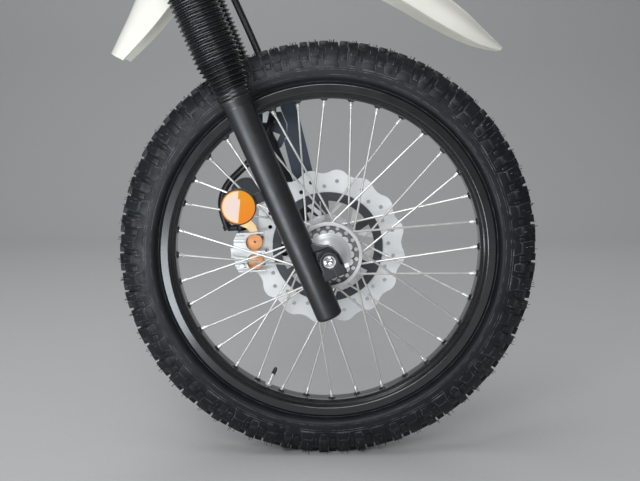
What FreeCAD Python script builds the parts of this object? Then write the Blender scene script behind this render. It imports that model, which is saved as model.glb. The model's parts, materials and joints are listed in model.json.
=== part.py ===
import FreeCAD, Part
import math
import os

from FreeCAD import Vector

# Front wheel and fork of a dual sport motorcycle, in millimetres.
# +X is forward, +Y the bike's left and +Z up. The origin lies on the steering axis,
# at the lower bearing's seat on the stem.

# steering and clearances
RAKE = 23.0              # degrees that the steering axis leans back
LEG_OFFSET = 20.0        # leg axis ahead of the steering axis
AXLE_LEAD = 34.0         # axle ahead of the leg axis
SEAT_HEIGHT = 614.0      # bearing seat above the axle, along the steering axis
LEG_SPREAD = 97.0        # leg axis from the wheel's middle plane
FIT = 0.3                # clearance of a sliding or bolted fit
PRESS_GAP = 0.05         # clearance of a pressed, threaded or stacked fit

# stem and lower yoke
STEM_R = 15.0
STEM_FOOT_R = STEM_R + 1.5
STEM_NECK_R = STEM_R - 1.5
STEM_TOP_R = STEM_R - 2.5
STEM_BORE_R = STEM_R - 6.5
STEM_SEAT_LENGTH = 42.0
STEM_NECK_LENGTH = 118.0
STEM_TOP_LENGTH = 45.0
STEM_CHAMFER = 1.5
STEM_RELIEF = 0.5        # depth and length of the groove below the bearing seat
YOKE_HEIGHT = 34.0
YOKE_DROP = 5.0          # yoke's top face below the bearing seat
YOKE_WALL = 9.0
YOKE_WAIST = 46.0
STEM_COLLAR_R = STEM_FOOT_R + 7.5
STEM_STEP_R = STEM_FOOT_R + 4
YOKE_SLIT = 3.0
YOKE_LUG = 14.0          # lug beyond a tube's clamp, cut by its slit
YOKE_BOLT_R = 4.0

# fork tubes, gaiters and lower legs
TUBE_R = 18.5
TUBE_WALL = 2.5
TUBE_TOP = 205.0         # tube's top above the bearing seat
TUBE_FOOT = 40.0         # tube's lower end above the axle, along the leg
CLAMP_LENGTH = 45.0      # stretch at the tube's top that an upper yoke clamps
TUBE_CHAMFER = 1.0
TUBE_GROOVE = 0.4        # depth of the height mark turned below the clamped stretch
CAP_DEPTH = 18.0
CAP_RIM = 4.0
CAP_SOCKET_R = 8.0
LEG_R = TUBE_R + 4.2     # leg's radius below its collar
LEG_FOOT_R = TUBE_R + 2.2
LEG_EDGE = 3.0           # bevel round the leg's foot
LEG_BOTTOM = 84.0        # leg's lower end below the axle, along the leg
LEG_TOP = 290.0          # leg's upper end above the axle, along the leg
WELL_FLOOR = TUBE_FOOT - 10
COLLAR_R = LEG_R + 3.3
COLLAR_HEIGHT = 15.0
COLLAR_FLARE = 11.0
GAITER_R = TUBE_R + 19.2
GAITER_FIRST_R = TUBE_R + 10.7   # crest of the lowest pleat
GAITER_NECK_R = TUBE_R + 8.3
GAITER_CUFF = 12.0
GAITER_TAPER = 46.0      # stretch over which the pleats grow to their full radius
PLEAT_DEPTH = 4.5
GAITER_WALL = 2.5
PLEAT_PITCH = 7.6

# axle and its clamps
AXLE_R = 8.5
AXLE_HEAD_R = AXLE_R + 1.6
AXLE_BORE_R = AXLE_R - 2.5
AXLE_SOCKET_R = AXLE_R - 0.3
AXLE_SOCKET_DEPTH = 15.0
BOSS_FACE = LEG_SPREAD + 14      # raised face of an axle boss, from the middle plane
BOSS_INNER = LEG_SPREAD - 15
BOSS_SHELF = 1.5         # boss's shelf, pocket and groove below its raised face
BOSS_POCKET = 5.0
BOSS_GROOVE = 6.0
BOSS_GROOVE_WIDTH = 2.0
BOSS_RING_R = AXLE_HEAD_R + 5.6
BOSS_SLIT = 1.2
BOSS_NOSE = AXLE_LEAD + 19.4     # front end of a boss, ahead of its leg's axis
BOSS_LOW = 26.3          # boss's lower edge below the axle
PINCH_R = 3.2
PINCH_DROP = 18.0        # pinch bolts below the axle
SPACER_R = AXLE_R + 5.5

# tyre and rim
BEAD_R = 267.2
BEAD_HALF_WIDTH = 20.0
TYRE_R = BEAD_R + 76.8
SHOULDER_R = TYRE_R - 40.6       # carcass where the side lugs end
TYRE_HALF_WIDTH = 37.5
LUG_PAIRS = 33
LUG_HEIGHT = 6.5
RIM_R = BEAD_R + 10.8
RIM_INNER_R = BEAD_R - 15.7
RIM_HALF_WIDTH = 26.0
VALVE_ANGLE = 246.2      # degrees from +X towards +Z
VALVE_R = 3.5
VALVE_REACH = 34.0

# hub and spokes
HUB_RING_R = 54.5
HUB_RING_WIDTH = 5.5
HUB_FLANGE_Y = 47.0      # outer face of the right flange ring
HUB_FLANGE_DEPTH = 14.0
FLANGE_WALL = 4.0
HUB_BARREL_R = HUB_RING_R - 31.5
HUB_DOME_R = HUB_RING_R - 17.5
HUB_END_Y = 65.0
HUB_LOBES = 18
LOBE_TIP_R = HUB_RING_R - 12.9
LOBE_VALLEY_R = HUB_RING_R - 18.5
LOBE_RISE = 9.0
FIRST_LOBE = 3.0
SPOKES_PER_SET = 9
SPOKE_R = 1.75
SPOKE_HEAD_R = 3.2
SPOKE_HEAD_HEIGHT = 1.6
SPOKE_PLAY = 0.15
SPOKE_SWEEP = 40.0       # degrees from a spoke's hole in the hub to its nipple
SPOKE_HOLE_R = HUB_RING_R - 8.9
SPOKE_BEND = 1.5         # room between a spoke's bend and its flange
SPOKE_CROSSING = 7.0     # room between the two sets of a flange, along the axle
NIPPLE_SIDE = 5.8
NIPPLE_LENGTH = 14.0
NIPPLE_Y = 5.0
FIRST_NIPPLE = 11.5      # degrees, first nipple of the right flange from +X towards +Z

# brake disc, its dark ring and its bolts
DISC_Y = 49.6
DISC_THICKNESS = 4.5
DISC_TIP_R = 133.0
DISC_DIP_R = DISC_TIP_R - 7
DISC_INNER_R = DISC_TIP_R - 38.5
DISC_OUTER_HOLES_R = DISC_TIP_R - 19.5
DISC_INNER_HOLES_R = DISC_TIP_R - 29.2
DISC_HOLE_R = 3.5
PETALS = 16
FIRST_PETAL = 14.5
STRUT_WIDTH = 7.0
STRUT_SPLAY = 25.0       # degrees from a bolt eye to its strut's foot on the disc
EYE_R = 8.0
BOLT_CIRCLE_R = HUB_RING_R - 6.5
BOLT_R = 4.0
BOLT_HEAD_R = 6.5
BOLT_HEAD_HEIGHT = 5.0
FIRST_BOLT = 34.0
DISC_BOLTS = 6
CARRIER_THICKNESS = 3.0
CARRIER_OUTER_R = DISC_INNER_R - 0.5
CARRIER_INNER_R = DISC_INNER_R - 15
CARRIER_ARM = 13.0
DISC_NEAR_Y = DISC_Y - DISC_THICKNESS / 2
DISC_FAR_Y = DISC_Y + DISC_THICKNESS / 2
CARRIER_FAR_Y = DISC_NEAR_Y - PRESS_GAP
CARRIER_NEAR_Y = CARRIER_FAR_Y - CARRIER_THICKNESS
HUB_SEAT_Y = CARRIER_NEAR_Y - PRESS_GAP

# caliper, with reaches from the axle
CALIPER_ANGLE = 183.0    # degrees from +X towards +Z
CALIPER_LENGTH = 68.0
JAW_NEAR_Y = DISC_Y - 19.6
JAW_WALL = 8.0
PAD_SPACE = 11.0         # room each side of the disc's middle for a pad
CALIPER_FAR_Y = DISC_Y + 32.4
CALIPER_INNER = DISC_TIP_R - 27
CALIPER_BRIDGE = DISC_TIP_R + 17
CALIPER_OUTER = DISC_TIP_R + 26
WINDOW_R = 14.5
WINDOW_REACH = DISC_TIP_R - 9.5
WINDOW_SHIFT = 16.5
PAD_INNER = DISC_TIP_R - 22.5
PAD_OUTER = DISC_TIP_R + 7
PISTON_R = 17.0
PISTON_HEIGHT = 6.0
FIN_PITCH = 5.4
FIN_DEPTH = 3.0
FIN_SLOT = 2.4
SPRING_SHEET = 1.0
UNION_REACH = DISC_TIP_R + 14
UNION_R = 6.5

# hose, reflectors, mudguard and disc guard
HOSE_R = 6.0
FERRULE_WALL = 1.5
REFLECTOR_R = 28.0
LENS_R = REFLECTOR_R - 2
LENS_FLOOR = 5.0
LENS_RISE = 1.0
REFLECTOR_DEPTH = 12.0
REFLECTOR_HEIGHT = 134.5
REFLECTOR_BACK = 62.0
REFLECTOR_ARM = 8.0
MUDGUARD_WALL = 3.0
GUARD_WALL = 4.0

COS_RAKE = math.cos(math.radians(RAKE))
SIN_RAKE = math.sin(math.radians(RAKE))
AXLE_POINT = Vector((LEG_OFFSET + AXLE_LEAD) * COS_RAKE + SEAT_HEIGHT * SIN_RAKE, 0,
                    (LEG_OFFSET + AXLE_LEAD) * SIN_RAKE - SEAT_HEIGHT * COS_RAKE)
YOKE_BOTTOM = -YOKE_DROP - YOKE_HEIGHT
ACROSS = Vector(0, 1, 0)
UP = Vector(0, 0, 1)
AHEAD = Vector(1, 0, 0)
ORIGIN = Vector(0, 0, 0)


# Placing and basic shapes

def lean(shape):
    """Turns a shape built along an upright steering axis to the real rake."""
    shape.rotate(ORIGIN, ACROSS, -RAKE)
    return shape


def on_leg(shape, side):
    """Places a shape built on a leg's own axis, with the axle's level as its zero."""
    shape.translate(Vector(LEG_OFFSET, side * LEG_SPREAD, -SEAT_HEIGHT))
    return lean(shape)


def on_axle(shape):
    """Places a shape built round the axle's middle."""
    shape.translate(AXLE_POINT)
    return shape


def on_caliper(shape):
    """Places a shape whose +X points away from the axle, at the caliper's angle."""
    shape.rotate(ORIGIN, ACROSS, -CALIPER_ANGLE)
    return on_axle(shape)


def rod(radius, start, end):
    """A round bar between two points."""
    along = end - start
    return Part.makeCylinder(radius, along.Length, start, along)


def across_rod(radius, x, z, y0, y1):
    """A round bar that runs across the bike between two planes."""
    return rod(radius, Vector(x, y0, z), Vector(x, y1, z))


def pipe(outer, inner, start, end):
    return rod(outer, start, end).cut(rod(inner, start, end))


def outline(points):
    """A flat face from corner points, each a Vector."""
    return Part.Face(Part.makePolygon(points + [points[0]]))


def spun(points, axis):
    """Revolves (place along the axis, radius) points about an axis through the origin."""
    corners = [axis * along + AHEAD * radius for along, radius in points]
    return outline(corners).revolve(ORIGIN, axis, 360)


def about_axle(points):
    return spun(points, ACROSS)


def about_leg(points):
    return spun(points, UP)


def block(x0, x1, y0, y1, z0, z1):
    return Part.makeBox(x1 - x0, y1 - y0, z1 - z0, Vector(x0, y0, z0))


def plate(points, y0, y1):
    """A plate of (x, z) corners between two planes across the bike."""
    face = outline([Vector(x, y0, z) for x, z in points])
    return face.extrude(Vector(0, y1 - y0, 0))


def joined(shapes):
    whole = shapes[0]
    if len(shapes) > 1:
        whole = whole.fuse(shapes[1:])
    return whole.removeSplitter()


def mirrored(points):
    """Completes a half section, given from the middle outward, with its mirror image."""
    return points + [(-along, radius) for along, radius in reversed(points) if along > 0]


def polar(radius, degrees, y):
    angle = math.radians(degrees)
    return Vector(radius * math.cos(angle), y, radius * math.sin(angle))


def around(shape, count, first=0.0):
    """Copies of a shape turned evenly about the axle, as a list."""
    copies = []
    for step in range(count):
        copy = shape.copy()
        copy.rotate(ORIGIN, ACROSS, -(first + step * 360.0 / count))
        copies.append(copy)
    return copies


def scalloped(tip_r, valley_r, count, first, y0, y1):
    """A flat disc whose edge has one pointed arc per step, highest at each step's middle."""
    step = 360.0 / count
    edges = []
    for index in range(count):
        middle = first + index * step
        edges.append(Part.Arc(polar(valley_r, middle - step / 2, y0), polar(tip_r, middle, y0),
                              polar(valley_r, middle + step / 2, y0)).toShape())
    return Part.Face(Part.Wire(edges)).extrude(Vector(0, y1 - y0, 0))


def petalled(tip_r, dip_r, count, first, y0, y1):
    """A flat disc whose edge swells and dips in tangent-like arcs."""
    quarter = 90.0 / count
    middle_r = (tip_r + dip_r) / 2
    edges = []
    for index in range(2 * count):
        middle = first + 2 * index * quarter
        crest = tip_r if index % 2 == 0 else dip_r
        edges.append(Part.Arc(polar(middle_r, middle - quarter, y0), polar(crest, middle, y0),
                              polar(middle_r, middle + quarter, y0)).toShape())
    return Part.Face(Part.Wire(edges)).extrude(Vector(0, y1 - y0, 0))


# Tyre, built of flat faces: one carcass facet per lug position

TYRE_PITCH = 180.0 / LUG_PAIRS
FACET_SWELL = 1 / math.cos(math.radians(TYRE_PITCH / 2))
CROWN_R = TYRE_R - LUG_HEIGHT
CROWN_EDGE = (16, CROWN_R - 1.3)
CARCASS_SIDE = (28, CROWN_R - 10)
CARCASS_END = (TYRE_HALF_WIDTH, SHOULDER_R)
WALL = [CARCASS_END, (TYRE_HALF_WIDTH - 3, BEAD_R + 16.8), (RIM_HALF_WIDTH - 4, (RIM_R + 1) * FACET_SWELL),
        (BEAD_HALF_WIDTH, BEAD_R * FACET_SWELL), (BEAD_HALF_WIDTH - 9, BEAD_R * FACET_SWELL),
        (TYRE_HALF_WIDTH - 8, TYRE_R - 44), (0, TYRE_R - 15)]
# side lugs of an even and of an odd position: share of the pitch, inner and outer top corner
SIDE_LUGS = [(0.66, (17, TYRE_R - 3), (33, TYRE_R - 17)),
             (0.52, (17, TYRE_R - 1.5), (34, TYRE_R - 12))]
MIDDLE_LUGS = [(0.52, 0.97, 11.5), (0.56, 0.94, 12.5)]
LUG_SLOPE = 0.03         # share of a pitch by which a middle lug's flank leans


def tyre_spot(point, position, share):
    """A place on the facet between two lug positions. point is (across, radius)."""
    across, radius = point
    start = polar(radius, position * TYRE_PITCH, across)
    end = polar(radius, (position + 1) * TYRE_PITCH, across)
    return start + (end - start) * share


def strip(first, second, position, start, end):
    """Flat face between two section points, over a share of one pitch."""
    return outline([tyre_spot(first, position, start), tyre_spot(second, position, start),
                    tyre_spot(second, position, end), tyre_spot(first, position, end)])


def side_lug(position, side):
    """Faces of one side lug and of the bare carcass beside it."""
    share, inner_top, outer_top = SIDE_LUGS[position % 2]
    edge, bend, end, inner, outer = [(side * across, radius) for across, radius
                                     in (CROWN_EDGE, CARCASS_SIDE, CARCASS_END, inner_top, outer_top)]
    faces = [strip(edge, bend, position, share, 1), strip(bend, end, position, share, 1),
             strip(edge, inner, position, 0, share), strip(inner, outer, position, 0, share),
             strip(outer, end, position, 0, share)]
    for flank in (0, share):
        corners = [tyre_spot(point, position, flank) for point in (edge, inner, outer, end, bend)]
        faces.append(outline(corners))
    return faces


def middle_lug(position):
    """The crown's facet with a hole under its lug, and the lug's five faces."""
    start, end, half = MIDDLE_LUGS[position % 2]
    left = (CROWN_EDGE[0], CROWN_EDGE[1])
    right = (-CROWN_EDGE[0], CROWN_EDGE[1])
    foot = [((half, CROWN_EDGE[1]), start), ((half, CROWN_EDGE[1]), end),
            ((-half, CROWN_EDGE[1]), end), ((-half, CROWN_EDGE[1]), start)]
    top = [((half - 1, TYRE_R), start + LUG_SLOPE), ((half - 1, TYRE_R), end - LUG_SLOPE),
           ((1 - half, TYRE_R), end - LUG_SLOPE), ((1 - half, TYRE_R), start + LUG_SLOPE)]
    foot = [tyre_spot(point, position, share) for point, share in foot]
    top = [tyre_spot(point, position, share) for point, share in top]
    crown = strip(left, right, position, 0, 1).cut(outline(foot)).Faces
    flanks = [outline([foot[i], foot[(i + 1) % 4], top[(i + 1) % 4], top[i]]) for i in range(4)]
    return crown + flanks + [outline(top)]


def tyre():
    faces = []
    for position in (0, 1):
        faces += middle_lug(position)
        for side in (1, -1):
            faces += side_lug(position, side)
            wall = [(side * across, radius) for across, radius in WALL]
            faces += [strip(first, second, position, 0, 1) for first, second in zip(wall, wall[1:])]
    ring = []
    for step in range(LUG_PAIRS):
        for face in faces:
            copy = face.copy()
            copy.rotate(ORIGIN, ACROSS, -step * 360.0 / LUG_PAIRS)
            ring.append(copy)
    shell = Part.Shell(ring)
    shell.sewShape()
    body = Part.Solid(shell)
    if body.Volume < 0:
        body.reverse()
    return on_axle(body)


# Rim, hub and spokes

def rim():
    well = (RIM_HALF_WIDTH - 16, RIM_INNER_R + 4)
    half = [well, (BEAD_HALF_WIDTH - 8.5, BEAD_R - FIT), (BEAD_HALF_WIDTH + FIT, BEAD_R - FIT),
            (RIM_HALF_WIDTH - 3.5, RIM_R), (RIM_HALF_WIDTH, RIM_R), (RIM_HALF_WIDTH - 2, RIM_R - 16),
            (RIM_HALF_WIDTH - 12, RIM_INNER_R)]
    return on_axle(about_axle(mirrored(half)))


def spoke_ends(side, turn, index):
    """The bend at the hub and the nipple's seat of one spoke. turn is its lacing sense."""
    step = 360.0 / SPOKES_PER_SET
    first = FIRST_NIPPLE if side < 0 else FIRST_NIPPLE + step / 4
    if turn < 0:
        first -= side * step / 2
    at_rim = first + index * step
    at_hub = at_rim + turn * SPOKE_SWEEP
    depth = HUB_FLANGE_Y - HUB_FLANGE_DEPTH - SPOKE_R - SPOKE_BEND
    if turn < 0:
        depth -= SPOKE_CROSSING
    seat = polar(RIM_INNER_R, at_rim, side * NIPPLE_Y)
    hole = polar(SPOKE_HOLE_R, at_hub, side * depth)
    return hole, seat


def spokes(side, turn):
    """One set of spokes, each bent at the hub, through its flange to a head on the far face."""
    face = side * (HUB_FLANGE_Y - HUB_FLANGE_DEPTH + FLANGE_WALL + PRESS_GAP)
    rods = []
    for index in range(SPOKES_PER_SET):
        bend, seat = spoke_ends(side, turn, index)
        along = (seat - bend).normalize()
        foot = Vector(bend.x, face, bend.z)
        knee = Part.makeSphere(SPOKE_R, bend)
        head = rod(SPOKE_HEAD_R, foot, foot + ACROSS * side * SPOKE_HEAD_HEIGHT)
        rods.append(joined([rod(SPOKE_R, bend, seat - along * NIPPLE_LENGTH), knee,
                            rod(SPOKE_R, bend, foot), head]))
    return on_axle(Part.makeCompound(rods))


def nipples():
    """Square nipples, each from the end of its spoke to the rim."""
    half = NIPPLE_SIDE / 2
    rim_space = rod(RIM_INNER_R - PRESS_GAP, ACROSS * -RIM_HALF_WIDTH, ACROSS * RIM_HALF_WIDTH)
    pieces = []
    for side in (-1, 1):
        for turn in (1, -1):
            for index in range(SPOKES_PER_SET):
                bend, seat = spoke_ends(side, turn, index)
                turned = FreeCAD.Rotation(UP, seat - bend)
                nipple = block(-half, half, -half, half, -NIPPLE_LENGTH, half)
                nipple.Placement = FreeCAD.Placement(seat, turned)
                pieces.append(nipple.common(rim_space))
    return on_axle(Part.makeCompound(pieces))


def hub():
    """Barrel with a ringed right flange round a lobed dome and a left flange with the disc's seat."""
    bore = AXLE_R + FIT
    ring_inner = HUB_RING_R - HUB_RING_WIDTH
    near = HUB_FLANGE_Y - HUB_FLANGE_DEPTH
    far = near + FLANGE_WALL
    boss_face = far + LOBE_RISE
    dome = [(-HUB_END_Y, bore), (-HUB_END_Y, SPACER_R + 6), (4 - HUB_END_Y, SPACER_R + 6.5),
            (-boss_face - 9, HUB_DOME_R - 11), (-boss_face - 4, HUB_DOME_R - 7), (-boss_face, HUB_DOME_R - 1)]
    right = [(-far, HUB_DOME_R - 1), (-far, ring_inner), (-HUB_FLANGE_Y, ring_inner),
             (-HUB_FLANGE_Y, HUB_RING_R), (-near, HUB_RING_R), (-near, HUB_DOME_R), (-near / 2, HUB_BARREL_R)]
    left = [(near / 2, HUB_BARREL_R), (near, HUB_DOME_R), (near, HUB_RING_R), (far, HUB_RING_R),
            (far, LOBE_TIP_R - 3.6), (far + 2.5, LOBE_TIP_R - 3.6), (far + 2.5, HUB_RING_R + 1.5),
            (HUB_SEAT_Y, HUB_RING_R + 1.5), (HUB_SEAT_Y, HUB_DOME_R - 7), (HUB_END_Y, SPACER_R + 8),
            (HUB_END_Y, bore)]
    body = about_axle(dome + right + left)
    lobes = scalloped(LOBE_TIP_R, LOBE_VALLEY_R, HUB_LOBES, FIRST_LOBE, -boss_face, 1 - far)
    lobes = lobes.cut(rod(HUB_DOME_R - 2, ACROSS * -HUB_END_Y, ORIGIN))
    body = joined([body, lobes])
    holes = []
    for side in (-1, 1):
        for turn in (1, -1):
            for index in range(SPOKES_PER_SET):
                bend = spoke_ends(side, turn, index)[0]
                holes.append(across_rod(SPOKE_R + SPOKE_PLAY, bend.x, bend.z,
                                        side * (near - 1), side * (far + 1)))
    for step in range(DISC_BOLTS):
        centre = polar(BOLT_CIRCLE_R, FIRST_BOLT + step * 360.0 / DISC_BOLTS, 0)
        holes.append(across_rod(BOLT_R + PRESS_GAP, centre.x, centre.z, far + 1, DISC_Y))
    return on_axle(body.cut(Part.makeCompound(holes)))


def valve_stem():
    foot = polar(RIM_INNER_R - FIT, VALVE_ANGLE, 0)
    tip = polar(RIM_INNER_R - VALVE_REACH, VALVE_ANGLE, 0)
    nut = polar(RIM_INNER_R - 2 * VALVE_R, VALVE_ANGLE, 0)
    return on_axle(joined([rod(VALVE_R, foot, tip), rod(VALVE_R + 2.5, foot, nut)]))


# Disc

def bolt_holes():
    hole = across_rod(BOLT_R + PRESS_GAP, BOLT_CIRCLE_R, 0, 0, 2 * DISC_Y)
    return around(hole, DISC_BOLTS, FIRST_BOLT)


def brake_disc():
    """Petal disc on six pairs of splayed struts, each pair from one bolt eye."""
    band = petalled(DISC_TIP_R, DISC_DIP_R, PETALS, FIRST_PETAL, DISC_NEAR_Y, DISC_FAR_Y)
    band = band.cut(rod(DISC_INNER_R, ORIGIN, ACROSS * 2 * DISC_Y))
    foot = polar(DISC_INNER_R + STRUT_WIDTH / 2, STRUT_SPLAY, 0)
    angle = math.degrees(math.atan2(foot.z, foot.x - BOLT_CIRCLE_R))
    length = math.hypot(foot.x - BOLT_CIRCLE_R, foot.z)
    parts = [band]
    eye = across_rod(EYE_R, BOLT_CIRCLE_R, 0, DISC_NEAR_Y, DISC_FAR_Y)
    parts += around(eye, DISC_BOLTS, FIRST_BOLT)
    for turn in (-1, 1):
        strut = block(0, length, DISC_NEAR_Y, DISC_FAR_Y, -STRUT_WIDTH / 2, STRUT_WIDTH / 2)
        strut.rotate(ORIGIN, ACROSS, -turn * angle)
        strut.translate(AHEAD * BOLT_CIRCLE_R)
        parts += around(strut, DISC_BOLTS, FIRST_BOLT)
    body = joined(parts)
    outer = across_rod(DISC_HOLE_R, DISC_OUTER_HOLES_R, 0, 0, 2 * DISC_Y)
    inner = across_rod(DISC_HOLE_R, DISC_INNER_HOLES_R, 0, 0, 2 * DISC_Y)
    holes = bolt_holes() + around(outer, PETALS, FIRST_PETAL)
    holes += around(inner, PETALS, FIRST_PETAL + 180.0 / PETALS)
    return on_axle(body.cut(Part.makeCompound(holes)))


def disc_carrier():
    """Dark ring on six arms, bolted between the hub and the disc."""
    parts = [pipe(CARRIER_OUTER_R, CARRIER_INNER_R, ACROSS * CARRIER_NEAR_Y, ACROSS * CARRIER_FAR_Y)]
    arm = block(BOLT_CIRCLE_R, CARRIER_INNER_R + 3, CARRIER_NEAR_Y, CARRIER_FAR_Y,
                -CARRIER_ARM / 2, CARRIER_ARM / 2)
    eye = across_rod(EYE_R, BOLT_CIRCLE_R, 0, CARRIER_NEAR_Y, CARRIER_FAR_Y)
    parts += around(joined([arm, eye]), DISC_BOLTS, FIRST_BOLT)
    return on_axle(joined(parts).cut(Part.makeCompound(bolt_holes())))


def disc_bolts():
    face = DISC_FAR_Y + PRESS_GAP
    seat = HUB_FLANGE_Y - HUB_FLANGE_DEPTH + FLANGE_WALL + 4
    bolt = joined([across_rod(BOLT_HEAD_R, BOLT_CIRCLE_R, 0, face, face + BOLT_HEAD_HEIGHT),
                   across_rod(BOLT_R, BOLT_CIRCLE_R, 0, seat, face + 1)])
    return on_axle(Part.makeCompound(around(bolt, DISC_BOLTS, FIRST_BOLT)))


# Fork

def steering_stem():
    seat_start = -STEM_CHAMFER
    seat_end = seat_start + STEM_SEAT_LENGTH
    neck_end = STEM_SEAT_LENGTH + STEM_NECK_LENGTH
    top_start = neck_end + STEM_CHAMFER
    top_end = top_start + STEM_TOP_LENGTH
    relief_r = STEM_R - STEM_RELIEF
    body = about_leg([(YOKE_BOTTOM, STEM_BORE_R), (YOKE_BOTTOM, STEM_FOOT_R),
                      (seat_start - 2 * STEM_RELIEF, STEM_FOOT_R), (seat_start - 2 * STEM_RELIEF, relief_r),
                      (seat_start - STEM_RELIEF, relief_r), (seat_start, STEM_R), (seat_end, STEM_R),
                      (seat_end + STEM_CHAMFER, STEM_NECK_R), (neck_end, STEM_NECK_R),
                      (top_start, STEM_TOP_R), (top_end, STEM_TOP_R),
                      (top_end + STEM_CHAMFER, STEM_TOP_R - STEM_CHAMFER),
                      (top_end + STEM_CHAMFER, STEM_BORE_R)])
    return lean(body)


def lower_yoke():
    """Bridge between two split clamps, each with a lug ahead of its tube."""
    boss = TUBE_R + YOKE_WALL
    top = YOKE_BOTTOM + YOKE_HEIGHT
    parts = [rod(STEM_COLLAR_R, UP * YOKE_BOTTOM, UP * top), rod(STEM_STEP_R, UP * top, ORIGIN)]
    holes = [rod(STEM_FOOT_R + PRESS_GAP, UP * (YOKE_BOTTOM - 1), UP)]
    for side in (-1, 1):
        centre = Vector(LEG_OFFSET, side * LEG_SPREAD, YOKE_BOTTOM)
        parts.append(rod(boss, centre, centre + UP * YOKE_HEIGHT))
        web = outline([Vector(-YOKE_WAIST / 2, 0, YOKE_BOTTOM), Vector(YOKE_WAIST / 2, 0, YOKE_BOTTOM),
                       centre + AHEAD * YOKE_WAIST / 2, centre - AHEAD * YOKE_WAIST / 2])
        parts.append(web.extrude(UP * YOKE_HEIGHT))
        tip = LEG_OFFSET + boss + YOKE_LUG
        parts.append(block(LEG_OFFSET, tip, centre.y - YOKE_LUG, centre.y + YOKE_LUG, YOKE_BOTTOM, top))
        holes.append(rod(TUBE_R + FIT, centre - UP, centre + UP * (YOKE_HEIGHT + 2)))
        holes.append(block(LEG_OFFSET, tip + 1, centre.y - YOKE_SLIT / 2, centre.y + YOKE_SLIT / 2,
                           YOKE_BOTTOM - 1, top + 1))
        bolt_x = tip - YOKE_LUG / 2
        for share in (0.25, 0.75):
            holes.append(across_rod(YOKE_BOLT_R, bolt_x, YOKE_BOTTOM + share * YOKE_HEIGHT,
                                    centre.y - 2 * YOKE_LUG, centre.y + 2 * YOKE_LUG))
    return lean(joined(parts).cut(Part.makeCompound(holes)))


def fork_tube(side):
    top = SEAT_HEIGHT + TUBE_TOP
    seat_end = top - TUBE_CHAMFER
    seat_start = seat_end - CLAMP_LENGTH
    groove = TUBE_R - TUBE_GROOVE
    tube = about_leg([(TUBE_FOOT, TUBE_R - TUBE_WALL), (TUBE_FOOT, TUBE_R),
                      (seat_start - 3 * TUBE_GROOVE, TUBE_R), (seat_start - 2 * TUBE_GROOVE, groove),
                      (seat_start - TUBE_GROOVE, groove), (seat_start, TUBE_R),
                      (seat_end, TUBE_R), (top, TUBE_R - TUBE_CHAMFER),
                      (top, TUBE_R - TUBE_WALL)])
    return on_leg(tube, side)


def fork_cap(side):
    top = SEAT_HEIGHT + TUBE_TOP
    inside = TUBE_R - TUBE_WALL - FIT
    rim_r = TUBE_R - TUBE_CHAMFER
    cap = about_leg([(top - CAP_DEPTH, 0), (top - CAP_DEPTH, inside), (top, inside),
                     (top, rim_r), (top + CAP_RIM, rim_r), (top + CAP_RIM, CAP_SOCKET_R),
                     (top - CAP_RIM, CAP_SOCKET_R), (top - CAP_RIM, 0)])
    return on_leg(cap, side)


def gaiter(side):
    """Rubber bellows from the leg's collar up to the lower yoke."""
    low = LEG_TOP + FIT
    high = SEAT_HEIGHT + YOKE_BOTTOM - FIT
    start = low + GAITER_CUFF
    pleat_count = round((high - start) / PLEAT_PITCH)
    pitch = (high - start) / pleat_count
    growth = (GAITER_R - GAITER_FIRST_R) / GAITER_TAPER
    points = [(low, GAITER_NECK_R), (start, GAITER_NECK_R)]
    for pleat in range(pleat_count):
        foot = start + pleat * pitch
        crest = min(GAITER_R, GAITER_FIRST_R + growth * pleat * pitch)
        points.append((foot + pitch / 2, crest))
        points.append((foot + pitch, crest - PLEAT_DEPTH))
    bore = TUBE_R + GAITER_WALL
    points += [(high, bore), (low, bore)]
    return on_leg(about_leg(points), side)


# Lower legs. The boss is drawn ahead of the right leg, in the leg's own plane.

def leg_radius(height):
    share = (height + LEG_BOTTOM) / (LEG_TOP - COLLAR_HEIGHT + LEG_BOTTOM)
    return LEG_FOOT_R + share * (LEG_R - LEG_FOOT_R)


def leg_room():
    """The leg's tapered outside, grown by a fit, for the pieces bolted against it."""
    length = LEG_TOP - COLLAR_HEIGHT + LEG_BOTTOM
    return Part.makeCone(LEG_FOOT_R + FIT, LEG_R + FIT, length, UP * -LEG_BOTTOM)


def boss_face():
    """The boss's outline: a curved top edge down to the nose, then back along the pinch edge."""
    def at(x, z):
        return Vector(AXLE_LEAD + x, LEG_SPREAD - BOSS_INNER, z)
    nose = BOSS_NOSE - AXLE_LEAD
    spots = at(-AXLE_LEAD, 50), at(-22, 46), at(-12, 34), at(6, 23.5), at(15.5, 10), at(nose, -8)
    edges = [Part.LineSegment(spots[0], spots[1]).toShape(),
             Part.Arc(spots[1], spots[2], spots[3]).toShape(),
             Part.Arc(spots[3], spots[4], spots[5]).toShape(),
             Part.LineSegment(spots[5], at(nose, -BOSS_LOW)).toShape(),
             Part.LineSegment(at(nose, -BOSS_LOW), at(-AXLE_LEAD, -BOSS_LOW)).toShape(),
             Part.LineSegment(at(-AXLE_LEAD, -BOSS_LOW), spots[0]).toShape()]
    return Part.Face(Part.Wire(edges))


def clamp_pad(grow, y0, y1):
    """Ring round the axle and the flat below it, both grown by a reach above the pinch edge."""
    ring = across_rod(BOSS_RING_R + grow, AXLE_LEAD, 0, y0, y1)
    flat = plate([(0, -BOSS_LOW), (0, grow - 14), (AXLE_LEAD - BOSS_RING_R - grow, grow - 12),
                  (AXLE_LEAD - BOSS_RING_R - grow, 0), (AXLE_LEAD + BOSS_RING_R + grow, 0),
                  (AXLE_LEAD + BOSS_RING_R + grow, grow - 10), (BOSS_NOSE, grow - 13),
                  (BOSS_NOSE, -BOSS_LOW)], y0, y1)
    return joined([ring, flat])


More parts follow.
